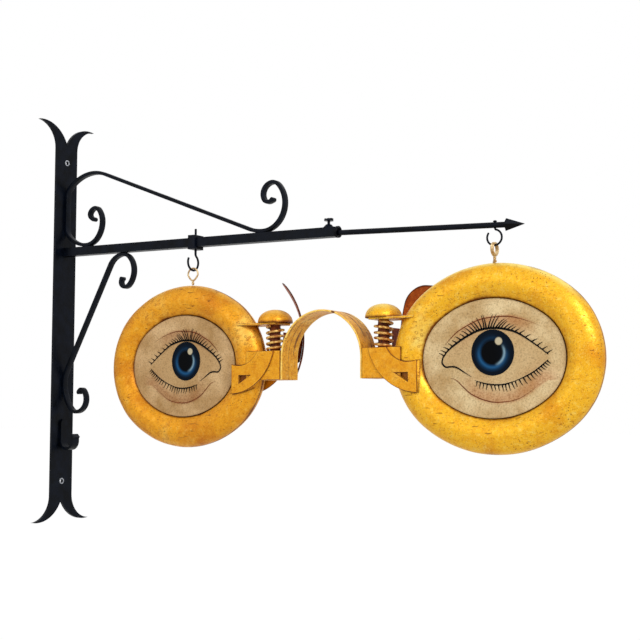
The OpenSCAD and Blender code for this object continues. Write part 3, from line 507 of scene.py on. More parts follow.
viewPoint = {"place": (1.3218, -1.2951, -0.1396), "pitch": 4.45, "turn": 32.5, "lens": 62.55,
             "near": 0.05, "far": 60}
studio = {"skySoft": 0.52, "keyWatts": 44, "keySize": 1.1, "keyPlace": (2.4, -1.5, 1.4),
          "fillWatts": 9, "fillPlace": (-0.4, -2.2, 0.9), "fillSize": 1.6,
          "aim": (0.5, 0.0, -0.05), "floorDrop": 0.9, "floorSize": 80.0, "paper": 0.86,
          "paperGlow": 1.1}
plainWhite = (1, 1, 1, 1)


def raysThatSee(tree):
    # 1 for camera, glossy and transmitted rays
    seen = addNode(tree, "ShaderNodeLightPath", out="Is Camera Ray")
    for ray in ("Is Glossy Ray", "Is Transmission Ray"):
        other = addNode(tree, "ShaderNodeLightPath", out=ray)
        seen = addNode(tree, "ShaderNodeMath", {0: seen, 1: other}, operation="MAXIMUM")
    return seen


def setSky(settings):
    # soft for the light it gives, and white to the eye
    world = bpy.data.worlds.new("paleStudio")
    scene.world = world
    world.use_nodes = True
    tree = world.node_tree
    tree.nodes.clear()
    soft, bright = (addNode(tree, "ShaderNodeBackground", {"Color": plainWhite,
                                                           "Strength": level})
                    for level in (settings["skySoft"], 1.0))
    mixed = addNode(tree, "ShaderNodeMixShader", {0: raysThatSee(tree), 1: soft, 2: bright})
    addNode(tree, "ShaderNodeOutputWorld", {"Surface": mixed})


def setLamps(settings):
    # two square area lamps, each turned from straight down towards the aim
    for name in ("key", "fill"):
        lamp = bpy.data.lights.new(name + "Lamp", "AREA")
        lamp.energy = settings[name + "Watts"]
        lamp.size = settings[name + "Size"]
        holder = bpy.data.objects.new(name + "Lamp", lamp)
        scene.collection.objects.link(holder)
        holder.location = settings[name + "Place"]
        aim = np.array(settings["aim"]) - np.array(settings[name + "Place"])
        holder.rotation_euler = (np.arctan2(np.hypot(aim[0], aim[1]), -aim[2]), 0,
                                 np.arctan2(-aim[0], aim[1]))


def setFloor(settings):
    # one wide sheet of pale paper, which glows to the eye as the sky does
    half = settings["floorSize"] / 2
    low = cadBox[0][2] - settings["floorDrop"]
    mesh = bpy.data.meshes.new("paleFloor")
    mesh.from_pydata([(-half, -half, low), (half, -half, low), (half, half, low),
                      (-half, half, low)], [], [(0, 1, 2, 3)])
    material, tree = newMaterial("palePaperFloor")
    paper = settings["paper"]
    lit = addNode(tree, "ShaderNodeBsdfDiffuse", {"Color": (paper, paper, paper, 1)})
    glow = addNode(tree, "ShaderNodeEmission", {"Color": plainWhite,
                                                "Strength": settings["paperGlow"]})
    seen = addNode(tree, "ShaderNodeMath", {0: raysThatSee(tree), 1: paper},
                   operation="MULTIPLY")
    mixed = addNode(tree, "ShaderNodeMixShader", {0: seen, 1: lit, 2: glow})
    addNode(tree, "ShaderNodeOutputMaterial", {"Surface": mixed})
    mesh.materials.append(material)
    floor = bpy.data.objects.new("paleFloor", mesh)
    scene.collection.objects.link(floor)


def setCamera(settings):
    camera = bpy.data.objects.new("viewer", bpy.data.cameras.new("viewer"))
    scene.collection.objects.link(camera)
    camera.location = settings["place"]
    camera.rotation_euler = (np.radians(90 + settings["pitch"]), 0,
                             np.radians(settings["turn"]))
    camera.data.lens = settings["lens"]
    camera.data.clip_start = settings["near"]
    camera.data.clip_end = settings["far"]
    scene.camera = camera


scene.view_settings.view_transform = "Standard"
setSky(studio)
setLamps(studio)
setFloor(studio)
setCamera(viewPoint)
print("studio ready")


bar = {"wide": 9.5, "thick": 5.5, "tip": 7, "round": 1.1, "step": 1.2, "x": 7.75,
       "uneven": 0.05, "wave": 40, "edgeUneven": 0.02, "edgeWave": 55}
# each bend is (radius, angle), in the order in which the bar takes them from its seat on the
# plate; angle 0 is a straight of that length
upperBar = {"seat": 150.854, "down": [(21, 45), (56, 45), (30, 45), (37, 45), (30, 45),
                                      (7.5, 45), (13, 60), (6.5, 60), (11, 50)],
            "up": [(52.5, 0), (14.3, -45), (74.5, -45), (70, -21.6), (306.7, 0), (69.3, 21.6),
                   (36.3, 45), (38.3, 45), (39.3, 45), (13.3, 45), (17.3, 60), (15.3, 60),
                   (8.5, 60), (11.3, 40)]}
lowerBar = {"seat": -101.364, "down": [(60, 45), (14.5, 45), (21.5, 45), (19.5, 45),
                                       (20.5, 45), (5, 45), (5.5, 80)],
            "up": [(38.4, -29.1), (189.4, 0), (30.7, -60.9), (19.5, -45), (29.7, -45),
                   (30.7, -45), (11.8, -45), (8.7, -60), (7.7, -70)]}


def bentWay(start, heading, pieces, finish):
    # the bar's middle line in X and Z: arcs (radius, angle) and straights (length, 0), each
    # starting where the last one ended, then a short straight through the rolled tip
    place, points = np.array(start, float), [np.array([start], float)]
    for size, angle in pieces + [(finish, 0)]:
        share = np.linspace(0, 1, 40)[1:]
        if angle == 0:
            run = place + np.outer(share * size, [np.cos(heading), np.sin(heading)])
        else:
            turned = heading + np.radians(angle) * share
            way = np.sign(angle) * size
            run = place + np.stack([way * (np.sin(turned) - np.sin(heading)),
                                    -way * (np.cos(turned) - np.cos(heading))], axis=1)
            heading += np.radians(angle)
        points.append(run)
        place = run[-1]
    return np.vstack(points)


def bentBar(name, settings, seed):
    # the bar's section carried down one way and up the other from the seat
    seat = (bar["x"], settings["seat"])
    radius, thin = bar["tip"] / 2, bar["thick"] / 2
    up = bentWay(seat, np.pi / 2, settings["up"], radius)
    down = bentWay(seat, -np.pi / 2, settings["down"], radius)
    flat = even(np.vstack([down[::-1], up[1:]]), bar["step"])
    path = np.stack([flat[:, 0], np.zeros(len(flat)), flat[:, 1]], axis=1)
    # thickness: a full circle of the tip's size at both ends, the bar's own between them
    run = np.arange(len(path)) * bar["step"]
    toEnd = np.minimum(run, run[-1] - run)
    ball = np.sqrt(np.clip(radius ** 2 - (radius - toEnd) ** 2, 0.01, None))
    half = np.where(toEnd < radius, ball, np.maximum(ball, thin))
    half = np.where(toEnd > bar["tip"], thin, half)
    uneven = 1 + bar["uneven"] * ripple(path, bar["wave"], seed)
    profile = roundBar(bar["wide"], bar["thick"], bar["round"])[None].repeat(len(path), 0)
    profile[..., 1] *= (half / thin * uneven)[:, None]
    profile[..., 0] *= 1 - bar["edgeUneven"] * (1 + ripple(path, bar["edgeWave"],
                                                           seed + 1))[:, None]
    gridPiece(name + "_bar", carried(path, profile, (0, 1, 0)), [blackIron], "bracket",
              (name,), sharp=50)


bentBar("upper_brace", upperBar, 11)
bentBar("lower_brace", lowerBar, 12)

# plain forged pieces: the body each rides on, its edges' rounding in mm and the least angle
# in degrees that counts as an edge
ironForms = {"wall_plate": ("bracket", 0.7, 32), "arm_tube": ("bracket", 0.9, 32),
             "tube_collar": ("bracket", 0.5, 32), "screw_boss": ("bracket", 0.5, 32),
             "cord_cleat": ("bracket", 0.8, 32), "screw_knob": ("thumbscrew", 0.4, 32),
             "arrow_point": ("rod", 0.35, 20), "arm_sleeve": ("sleeve", 0.8, 32),
             "sleeve_pin": ("sleeve", 0.5, 32)}
for node, (body, width, crease) in ironForms.items():
    softened(node, [blackIron], body, width, crease)
holeRim = {"spacing": 517, "radius": 3.9, "wire": 0.9, "face": 5, "flat": 0.45}


def holeEdge(name, z):
    # paint worn off round a screw hole: a low ring of bare steel, half sunk in the plate
    turn = turnsOf(64)
    own = circle(12) * holeRim["wire"]
    reach = holeRim["radius"] + own[:, 0]
    points = np.stack([holeRim["face"] + own[:, 1] * holeRim["flat"] + 0 * turn[:, None],
                       reach * np.cos(turn)[:, None], z + reach * np.sin(turn)[:, None]], -1)
    gridPiece(name, points, [bareSteel], "bracket", closedAlong=True)


for name, end in (("upper", 1), ("lower", -1)):
    holeEdge(name + "_hole_edge", end * holeRim["spacing"] / 2)
for node in ("extension_rod", "screw_shank"):
    nodes[node].data.materials.clear()
    nodes[node].data.materials.append(blackIron)
print("bracket ready")


# x is where the shank stands, across the way the hook's width runs, bar the height of the
# wire's middle under the bend, and tip the angle in degrees at which the bend ends
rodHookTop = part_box("rod_hook")[1][2] / mm
rodHook = {"x": 759.5, "across": (1, 0, 0), "body": "rod", "wire": 2.6, "bend": 10,
           "offset": 1, "neck": 2.2, "bar": 63.8, "top": rodHookTop - 0.5, "tip": 138,
           "instead": ()}
sleeveHook = {"x": 275.5, "across": (0, 1, 0), "body": "sleeve", "wire": 3.2, "bend": 12,
              "offset": 5.5, "neck": 5, "bar": 63, "top": 98.0, "tip": 147,
              "instead": ("sleeve_hook",)}
hookWire = {"step": 0.5, "uneven": 0.04, "wave": 12, "swell": 0.22, "swellFrom": 4,
            "swellTo": 14, "tipRound": 1.4}
# the riveted head on the rod's hook, as (radius, height) pairs
hookHead = {"high": 2.1, "profile": [(0.1, 2.1), (1.2, 2.0), (2.2, 1.5), (2.6, 0.9),
                                     (2.6, 0.3), (2.2, 0.0)]}


def hookWay(settings):
    # the wire's middle line across and up: shank, neck arc, then the bend round to the tip
    opening = np.arccos((settings["offset"] + settings["neck"])
                        / (settings["bend"] + settings["neck"]))
    bendZ = settings["bar"] + settings["bend"]
    neckZ = bendZ + (settings["bend"] + settings["neck"]) * np.sin(opening)
    shank = np.stack([np.zeros(20), np.linspace(settings["top"], neckZ, 20)], axis=1)
    turn = np.linspace(np.pi, np.pi + opening, 24)[1:]
    neck = np.stack([settings["neck"] * (1 + np.cos(turn)),
                     neckZ + settings["neck"] * np.sin(turn)], axis=1)
    turn = np.linspace(fullTurn + opening, np.radians(settings["tip"]), 90)[1:]
    bend = np.stack([-settings["offset"] + settings["bend"] * np.cos(turn),
                     bendZ + settings["bend"] * np.sin(turn)], axis=1)
    return even(np.vstack([shank, neck, bend]), hookWire["step"])


def hook(name, settings, seed):
    # round wire along the hook's way, a little thicker at the shank and rounded at the tip
    h = hookWire
    flat = hookWay(settings)
    path = np.outer(flat[:, 0], settings["across"]) + np.outer(flat[:, 1], (0, 0, 1))
    path[:, 0] += settings["x"]
    run = np.arange(len(path)) * h["step"]
    toTip = np.minimum(run[-1] - run, h["tipRound"]) / h["tipRound"]
    radius = settings["wire"] / 2 * (1 + h["uneven"] * ripple(path, h["wave"], seed))
    radius += h["swell"] * (1 - smoothStep(run, h["swellFrom"], h["swellTo"]))
    radius *= np.sqrt(np.clip(1 - (1 - toTip) ** 2, 0.02, 1))
    side = np.cross(settings["across"], (0, 0, 1))
    rings = carried(path, circle(20)[None] * radius[:, None, None], side)
    gridPiece(name + "_wire", rings, [blackIron], settings["body"],
              settings["instead"])


def lathe(name, profile, centre, materials, body, instead, count=64, seed=0,
          uneven=0.0, attributes=None):
    # (radius, height) pairs turned about an upright axis, with a little unevenness
    profile = np.asarray(profile, float)
    turn = turnsOf(count)
    rings = np.stack([profile[:, :1] * np.cos(turn), profile[:, :1] * np.sin(turn),
                      profile[:, 1:].repeat(count, 1)], axis=-1) + np.asarray(centre)
    if uneven:
        push = uneven * (ripple(rings, 14, seed) - 1)
        rings[..., 0] += push * np.cos(turn)
        rings[..., 1] += push * np.sin(turn)
    gridPiece(name, rings, materials, body, instead, attributes=attributes, sharp=40)


hook("sleeve_hook", sleeveHook, 21)
hook("rod_hook", rodHook, 22)
lathe("rod_hook_head", hookHead["profile"], (rodHook["x"], 0, rodHookTop - hookHead["high"]),
      [blackIron], "rod", ("rod_hook",))

hangingEyes = {"left": {"place": (275.5, -5.5), "radius": 9.2, "middle": 57.0, "wide": (1, 0),
                        "wire": 2.6, "strands": (0.0,), "pear": 0.26, "turns": 0.9},
               "right": {"place": (758.5, 0), "radius": 8.0, "middle": 58.7, "wide": (0, 1),
                         "wire": 2.6, "strands": (-1.15, 1.15), "pear": 0.1, "turns": 1.4}}
eyeStem = {"inLoop": 0.6, "reach": 1.1, "spread": 3.4, "spreadFrom": 0.8, "footAt": 0.93,
           "footLift": 1.0, "wire": 1.05, "step": 0.35, "lean": (0.31, 0.12, 0.94)}


def eyeLoop(side, settings, centre):
    # a wire ring, round on top and drawn in below; two strands lie side by side
    wide = np.array([*settings["wide"], 0.0])
    through = np.cross(wide, (0, 0, 1))
    turn = turnsOf(120)
    narrow = 1 - settings["pear"] * smoothStep(-np.cos(turn), 0.0, 0.9)
    for number, shift in enumerate(settings["strands"]):
        path = (centre + shift * through
                + np.outer(settings["radius"] * np.sin(turn) * narrow, wide)
                + np.outer(settings["radius"] * np.cos(turn), (0, 0, 1)))
        out = np.cross(unit(np.roll(path, -1, axis=0) - np.roll(path, 1, axis=0)), through)
        ring = circle(18) * settings["wire"] / 2
        points = (path[:, None] + ring[None, :, :1] * through
                  + ring[None, :, 1:] * out[:, None])
        gridPiece(side + "_eye_loop_" + str(number + 1), points, [giltWire], "sign",
                  (side + "_hanging_eye",), closedAlong=True)


def hangingEye(side, settings):
    # the loop, then a stem of two twisted strands whose cut ends bend out on the rim
    s = eyeStem
    centre = np.array([*settings["place"], settings["middle"]])
    eyeLoop(side, settings, centre)
    top = settings["middle"] - settings["radius"] + s["inLoop"]
    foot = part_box(side + "_hanging_eye")[0][2] / mm + s["footLift"]
    share = np.linspace(0, 1, 60)
    reach = s["reach"] + s["spread"] * smoothStep(share, s["spreadFrom"], 1.0)
    for number, start in enumerate((0, np.pi)):
        angle = start + settings["turns"] * fullTurn * share
        path = np.stack([centre[0] + reach * np.cos(angle), centre[1] + reach * np.sin(angle),
                         top + (foot - top) * np.minimum(share / s["footAt"], 1)], axis=1)
        path = even(path, s["step"])
        away = unit(np.cross(unit(np.gradient(path, axis=0)), s["lean"]))
        rings = carried(path, circle(14)[None].repeat(len(path), 0) * s["wire"], away)
        gridPiece(side + "_eye_strand_" + str(number + 1), rings, [giltWire], "sign")


for side, settings in hangingEyes.items():
    hangingEye(side, settings)
print("hooks and eyes ready")


# the sign hangs symmetrically about signX, with the middle of its frames at frameZ
signX, frameZ = 509.5, -79.4
eyeFrame = {"spacing": 496, "wide": 284, "high": 242, "rim": 48, "deep": 40, "endR": 85.845,
            "rimR": 17.5, "sheet": 1.2, "gap": 0.3, "panelY": 10, "panelT": 1.5}
pathA = eyeFrame["wide"] / 2 - eyeFrame["rim"] / 2
pathB = eyeFrame["high"] / 2 - eyeFrame["rim"] / 2
sideName = {1: "right", -1: "left"}
faceName = {1: "back", -1: "front"}
sideGilding = {1: (rimGold, "bright gold"), -1: (rimOldGold, "old gold")}


def ovalPoint(a, b, r, t):
    # a four-arc oval by the angle its edge faces: end arcs of radius r, flatter arcs between
    big = (a * a - 2 * a * r + b * b) / (2 * (b - r))
    join = np.arctan2(big - b, a - r)
    end = np.abs(np.cos(t)) > np.cos(join)
    x = np.where(end, np.sign(np.cos(t)) * (a - r) + r * np.cos(t), big * np.cos(t))
    y = np.where(end, r * np.sin(t), np.sign(np.sin(t)) * (b - big) + big * np.sin(t))
    return x, y


def toSign(side, u, y, w):
    # from the sign's own distances (u outwards from the bridge, w up) to the shared frame
    return np.stack([signX + side * u, y, frameZ + w], axis=-1)


# the cheek plate's outline on the rim: two bows (centre, radius, first and last angle), the
# far edge (its u, first and last w) and the window (its far top corner, width and height)
cheekShape = {"outer": (150.2, 33.7, 76, 191.9, 269.1),
              "inner": (136.2, 33.7, 35.6, 291, 206.2), "far": (149.0, -42.3, 0.5),
              "window": (135.3, -16.3, 18.5, 11.0), "soft": 1.2, "line": 0.9, "inside": 1.2}


def bow(x, z, radius, first, last):
    # an arc about (x, z) from the first angle to the last, in degrees
    turn = np.radians(np.linspace(first, last, 90))
    return np.stack([x + radius * np.cos(turn), z + radius * np.sin(turn)], axis=1)


def cheekShadow(u, w, depth):
    # painted shadow: 1 on the rim along the outline of the cheek plate before it, the
    # shadow that the plate casts, and painted shade in its window, where the rim behind the
    # plate lies in shade: an arc, a straight far edge and a second arc
    c = cheekShape
    far = np.stack([np.full(40, c["far"][0]), np.linspace(*c["far"][1:], 40)], axis=1)
    apart = np.full(u.shape, np.inf)
    for x, z in np.vstack([bow(*c["outer"]), far, bow(*c["inner"])]):
        apart = np.minimum(apart, np.hypot(u - x, w - z))
    x, z, wide, high = c["window"]
    window = (smoothStep(x - u, -1, 0.6) * smoothStep(z - w, -1, 0.6)
              * smoothStep(w - z + high * (1 - (x - u) / wide), -1, 0.6))
    shadow = np.maximum(c["line"] * bell(apart, c["soft"]), c["inside"] * window)
    return shadow * smoothStep(depth, 8, 13)


# the last values, one for each side, set how strong the painted highlight along each rim's top
# is
rimWear = {"slow": 70, "slowPress": 0.35, "quick": 24, "quickPress": 0.16, "dirt": 0.85,
           "crease": 0.17, "seam": 0.1, "patch": 34, "patchDirt": 0.5, "patchCrease": 0.45,
           "patchSeam": 0.7, "paleHighlight": {1: 2.4, -1: 0.8}}


def rimShell(side, face, seed):
    # half of the padded rim: the section's oval carried round the frame's oval, pressed
    # in by slow waves, with the sheet's inner side as the way back
    f, wear = eyeFrame, rimWear
    t = turnsOf(560)
    pathX, pathY = ovalPoint(pathA, pathB, f["endR"], t)
    s = np.linspace(0, np.pi, 60)
    outX, outY = ovalPoint(f["rim"] / 2, f["deep"] / 2, f["rimR"], s)
    back = np.linspace(np.pi, 0, 18)
    inX, inY = ovalPoint(f["rim"] / 2 - f["sheet"], f["deep"] / 2 - f["sheet"],
                         f["rimR"] - f["sheet"], back)
    x = np.concatenate([outX, inX])
    y = np.maximum(np.concatenate([outY, inY]), f["gap"] / 2)
    s = np.concatenate([s, back])
    u = f["spacing"] / 2 + pathX[:, None] + x * np.cos(t)[:, None]
    w = pathY[:, None] + x * np.sin(t)[:, None]
    points = toSign(side, u, face * y + 0 * u, w)
    press = (wear["slowPress"] * (ripple(points, wear["slow"], seed) - 1)
             + wear["quickPress"] * (ripple(points, wear["quick"], seed + 1) - 1))
    points[..., 1] += press * np.sin(s) * face
    points[..., 0] += press * np.cos(s) * np.cos(t)[:, None] * side
    points[..., 2] += press * np.cos(s) * np.sin(t)[:, None]
    # dirt: in the crease at the panel, on the seam, and in uneven patches near both
    fromPanel = s - np.pi + np.arcsin((f["panelY"] - 1) / f["rimR"])
    patches = smoothStep(ripple(points, wear["patch"], seed + 5), 0.05, 0.45)
    lip = (wear["dirt"] * (bell(fromPanel, wear["crease"]) + bell(s, wear["seam"]))
           + wear["patchDirt"] * patches * (bell(fromPanel, wear["patchCrease"])
                                            + bell(s, wear["patchSeam"])))
    # painted shadow of the cheek plate on the rim, and painted shade in its window
    lip = np.maximum(lip, cheekShadow(u, w, y + 0 * u))
    # painted highlight: the leaf is made paler along the top, where the sky lights it
    upper = smoothStep(np.sin(t)[:, None], 0.55, 0.95)
    paleHighlight = wear["paleHighlight"][side] * upper * smoothStep(-s, -0.95, -0.3)
    node = sideName[side] + "_" + faceName[face] + "_shell"
    gold, slot = sideGilding[side]
    gridPiece(node + "_sheet", points, [gold], "sign", (node,), closedAlong=True,
              attributes={"lip": lip, "worn": paleHighlight + 0 * lip})


for side in (-1, 1):
    for face in (-1, 1):
        rimShell(side, face, 40 + side)
print("rims ready")


# one eye as (u, w) points on its panel, for the right side; shift and narrow fit it to each
# side, and iris and irisR are the iris disc's middle and radius
eyeMotif = {"shift": {1: 2.0, -1: -4.5}, "narrow": {1: 1.0, -1: 0.93}, "lift": 0.12,
            "iris": (-1.2, 7.0), "irisR": 28.8,
            "upperLid": [(-70, 1.5), (-61.5, 11.8), (-45.5, 23), (-29, 31.8), (-15, 36.4),
                         (0, 37.7), (16, 35.8), (33, 30.2), (55, 16), (72, 3.2)],
            "lowerLid": [(71.5, -3.5), (61, -12), (48, -20.5), (28, -28.8), (11.5, -33),
                         (-8, -32.2), (-25.5, -27.5)],
            "corner": [(-70, 1.5), (-70.8, -4.5), (-66, -9.8), (-58, -9.6), (-50.5, -10.8),
                       (-40, -17), (-30, -23)],
            "upperCrease": [(-66, 19), (-58, 27), (-45.5, 36.8), (-18, 49), (13, 51.8),
                            (36, 48.2), (63, 38)],
            "lowerCrease": [(-60, -24), (-51, -27), (-40, -37), (-30, -45), (-12, -52.4),
                            (7, -54.8), (34.5, -49.8), (67.5, -28.3)]}
panelPaint = {"sink": 0.25, "swell": 0.12, "wave": 60, "blush": 15, "upperBlush": 1.05,
              "lowerBlush": 1.15, "whiteSoft": 3}


def panelEdge():
    # half width of the rim's section where the panel's back lies, plus the gap
    r, a = eyeFrame["rimR"], eyeFrame["rim"] / 2
    y = eyeFrame["panelY"] - eyeFrame["panelT"]
    return a - r + np.sqrt(r * r - y * y) + eyeFrame["gap"]


def nearLine(u, w, line, reach, above):
    # 1 on the line, fading over reach mm on one side of it and quickly on the other
    gapU = u[..., None] - line[:, 0]
    gapW = w[..., None] - line[:, 1]
    far = np.hypot(gapU, gapW)
    best = far.argmin(axis=-1)[..., None]
    distance = np.take_along_axis(far, best, -1)[..., 0]
    side = np.take_along_axis(gapW, best, -1)[..., 0] * above
    return bell(distance, np.where(side > 0, reach, reach * 0.16))


def facePanel(side, face, seed):
    # the oval painted plate: rings from the middle outwards, over the edge and shut behind
    edge, paint = panelEdge(), panelPaint
    x, y = ovalPoint(pathA - edge, pathB - edge, eyeFrame["endR"] - edge, turnsOf(240))
    share = np.concatenate([np.linspace(0.006, 1, 110), [1.0, 0.5]])
    depth = np.full(len(share), eyeFrame["panelY"] - paint["sink"])
    depth[-2:] = eyeFrame["panelY"] - eyeFrame["panelT"]
    u = share[:, None] * x
    w = share[:, None] * y
    points = toSign(side, u + eyeFrame["spacing"] / 2, face * depth[:, None] + 0 * u, w)
    points[:-2, :, 1] += face * paint["swell"] * ripple(points, paint["wave"], seed)[:-2]
    move = eyeMotif["shift"][side] if face < 0 else 0.0
    own = (u - move) / eyeMotif["narrow"][side]
    # the blush lies under the upper crease and over the lower one, away from the corners
    upper = nearLine(own, w, splineThrough(eyeMotif["upperCrease"], 60), paint["blush"], -1)
    lower = nearLine(own, w, splineThrough(eyeMotif["lowerCrease"], 60), paint["blush"], 1)
    upper *= smoothStep(own, -62, -30) * smoothStep(-own, -66, -30)
    lower *= smoothStep(own, -50, -20)
    blush = np.clip(paint["upperBlush"] * upper + paint["lowerBlush"] * lower, 0, 1)
    # the eye's white: below the upper lid's line and above the lower one's
    lidTop = splineThrough(eyeMotif["upperLid"], 80)
    lidLow = splineThrough(eyeMotif["lowerLid"][::-1], 80)
    over = np.interp(own, lidTop[:, 0], lidTop[:, 1], left=-99, right=-99)
    under = np.interp(own, lidLow[:, 0], lidLow[:, 1], left=-12, right=0)
    white = (smoothStep(over - w, 0, paint["whiteSoft"])
             * smoothStep(w - under, 0, paint["whiteSoft"]))
    lip = smoothStep(share[:, None] + 0 * u, 0.965, 1.0)
    node = sideName[side] + "_" + faceName[face] + "_panel"
    gridPiece(node + "_paint", points, [facePaint if side > 0 else tannedPaint], "sign",
              (node,), sharp=40,
              attributes={"blush": blush, "eyeWhite": white, "lip": lip})
    return node, move


def brushStrokes(name, strokes, side, face, move, material, lift):
    # flat tapered strokes: every stroke is (middle line, widths), laid lift mm over the
    # panel, and a thin coat of paint gives them their thickness
    corners, faces, start = [], [], 0
    for line, widths in strokes:
        ahead = np.gradient(line, axis=0)
        ahead /= np.linalg.norm(ahead, axis=1)[:, None] + 1e-9
        across = np.stack([-ahead[:, 1], ahead[:, 0]], axis=1) * widths[:, None] / 2
        corners.append(np.stack([line + across, line - across], axis=1).reshape(-1, 2))
        left = start + 2 * np.arange(len(line) - 1)
        faces.append(np.stack([left, left + 1, left + 3, left + 2], axis=1))
        start += 2 * len(line)
    flat, quads = np.vstack(corners), np.vstack(faces)
    points = toSign(side, flat[:, 0] * eyeMotif["narrow"][side] + move
                    + eyeFrame["spacing"] / 2,
                    np.full(len(flat), face * (eyeFrame["panelY"] + lift)), flat[:, 1])
    if side * face > 0:
        quads = quads[:, ::-1]
    mesh = bpy.data.meshes.new(name)
    mesh.from_pydata((points * mm).tolist(), [], quads.tolist())
    mesh.update()
    piece = addPiece(name, mesh, [material], "sign")
    coat = piece.modifiers.new("paintCoat", "SOLIDIFY")
    coat.thickness = 0.1 * mm
    coat.offset = 1


def taper(count, width, start, end):
    # widths along a stroke: start and end are its shares of the full width at its two ends
    share = np.linspace(0, 1, count)
    return (width * (start + (1 - start) * smoothStep(share, 0, 0.25))
            * (end + (1 - end) * smoothStep(1 - share, 0, 0.35)))


# for each brush line: its width in mm, and the shares of it left at the start and the end
brush = {"upperLid": (2.6, 0.7, 0.5), "lowerNear": (1.7, 0.5, 0.2),
         "lowerFar": (1.5, 0.5, 0.6), "corner": (2.0, 0.9, 0.2),
         "upperCrease": (1.1, 0.3, 0.1), "lowerCrease": (1.1, 0.2, 0.1)}
# middle is where along the upper lid the lashes part; widths and lengths in mm, angles in
# degrees
lash = {"upper": 31, "lower": 23, "middle": 0.49, "fan": 54, "fanSoft": 0.13, "curl": 18,
        "stray": 4, "width": 1.75, "widthPerLong": 0.02, "taper": 0.82, "short": 8.0,
        "long": 10.5, "longSpread": 0.16, "lift": 0.24}


def lashes(line, places, lengths, lean, upward, rng):
    # short curved hairs: each starts on the lid's line and bends outwards from the middle
    strokes = []
    length = np.linspace(0, 1, len(line))
    for place, long, tilt in zip(places, lengths, lean):
        root = np.array([np.interp(place, length, line[:, k]) for k in (0, 1)])
        share = np.linspace(0, 1, 7)
        angle = (np.radians(tilt + rng.normal(0, lash["stray"]))
                 + np.radians(lash["curl"]) * share * np.sign(tilt))
        step = long / 6 * np.stack([np.sin(angle), upward * np.cos(angle)], axis=1)
        path = root + np.vstack([[0, 0], np.cumsum(step[:-1], axis=0)])
        width = lash["width"] + lash["widthPerLong"] * long
        strokes.append((path, width * (1 - lash["taper"] * share)))
    return strokes


def lidPaint(side, face, node, move):
    # the lids, the inner corner and the lashes in black, then the two creases in brown
    rng = np.random.default_rng(7)
    top = splineThrough(eyeMotif["upperLid"], 120)
    low = splineThrough(eyeMotif["lowerLid"], 120)
    strokes = [(top, taper(120, *brush["upperLid"])),
               (low[60:], taper(60, *brush["lowerNear"])),
               (low[:60], taper(60, *brush["lowerFar"])),
               (splineThrough(eyeMotif["corner"], 80), taper(80, *brush["corner"]))]
    # the upper ones are longest over the iris, fan out there and lean away further out
    places = np.linspace(0, 1, lash["upper"])
    places = 0.03 + 0.96 * (places + 0.05 * np.sin(places * fullTurn))
    out = places - lash["middle"]
    lengths = lash["short"] + lash["long"] * bell(out, lash["longSpread"])
    lengths += rng.uniform(-1.2, 1.2, lash["upper"])
    strokes += lashes(top, places, lengths, lash["fan"] * np.tanh(out / lash["fanSoft"]), 1,
                      rng)
    places = np.linspace(0.02, 0.97, lash["lower"])
    lengths = 7.0 + 2.0 * np.sin(places * np.pi) + rng.uniform(-1, 1, lash["lower"])
    strokes += lashes(low, places, lengths, 52 - 62 * places, -1, rng)
    brushStrokes(node + "_lashes", strokes, side, face, move, lineBlack, lash["lift"])
    creases = [(splineThrough(eyeMotif[key], 90), taper(90, *brush[key]))
               for key in ("upperCrease", "lowerCrease")]
    brushStrokes(node + "_creases", creases, side, face, move, lineBrown, eyeMotif["lift"])


# lights on the iris, as shares of its radius: a soft arc of glow and one round glint
irisLight = {"glow": 0.55, "glowWide": 0.055, "glowTurn": 0.35, "glowMost": 0.75,
             "glint": (0.29, 0.49), "glintR": 0.19}


def irisPiece(side, face, node, move):
    # a disc of rings, shut behind; its lights and its shade are values in its own distances
    share = np.concatenate([np.linspace(0.01, 1, 64), [1.0]])
    turn = turnsOf(120)
    across, up = share[:, None] * np.cos(turn), share[:, None] * np.sin(turn)
    u = eyeMotif["iris"][0] + eyeMotif["irisR"] * across
    w = eyeMotif["iris"][1] + eyeMotif["irisR"] * up
    depth = np.full(len(share), eyeFrame["panelY"] + eyeMotif["lift"])
    depth[-1] = eyeFrame["panelY"] - 0.2
    points = toSign(side, u * eyeMotif["narrow"][side] + move + eyeFrame["spacing"] / 2,
                    face * depth[:, None] + 0 * u, w)
    across = across * side * -face
    radius = share[:, None] + 0 * u
    light = irisLight
    glow = (light["glowMost"] * bell(radius - light["glow"], light["glowWide"])
            * smoothStep(np.cos(np.arctan2(up, across) + light["glowTurn"]), 0.45, 0.95))
    fromGlint = np.hypot(across - light["glint"][0], up - light["glint"][1])
    glint = smoothStep(light["glintR"] - fromGlint, 0.0, 0.05)
    shade = np.clip(0.8 * smoothStep(up, -0.25, 0.5) * (radius > 0.5)
                    + 0.45 * smoothStep(across, 0.0, 0.8), 0, 0.92)
    gridPiece(node + "_iris", points, [irisBlue], "sign",
              attributes={"ring": radius, "shade": shade, "glow": glow, "glint": glint})


for side in (-1, 1):
    for face in (-1, 1):
        node, move = facePanel(side, face, 50)
        lidPaint(side, face, node, move)
        irisPiece(side, face, node, move)
print("painted eyes ready")


strap = {"wide": 41, "thick": 2.5, "radius": 65.7, "centre": 6.7, "low": -23, "round": 0.7,
         "step": 1.4, "dent": 0.3, "dentWave": 26, "edgeUneven": 0.012, "edgeWave": 45,
         "streak": 7, "streakLonger": 9, "edgeHighlight": 1.3, "edgeSoft": 1.2, "nickX": 21,
         "nickUp": 62, "nickSize": 2.2}


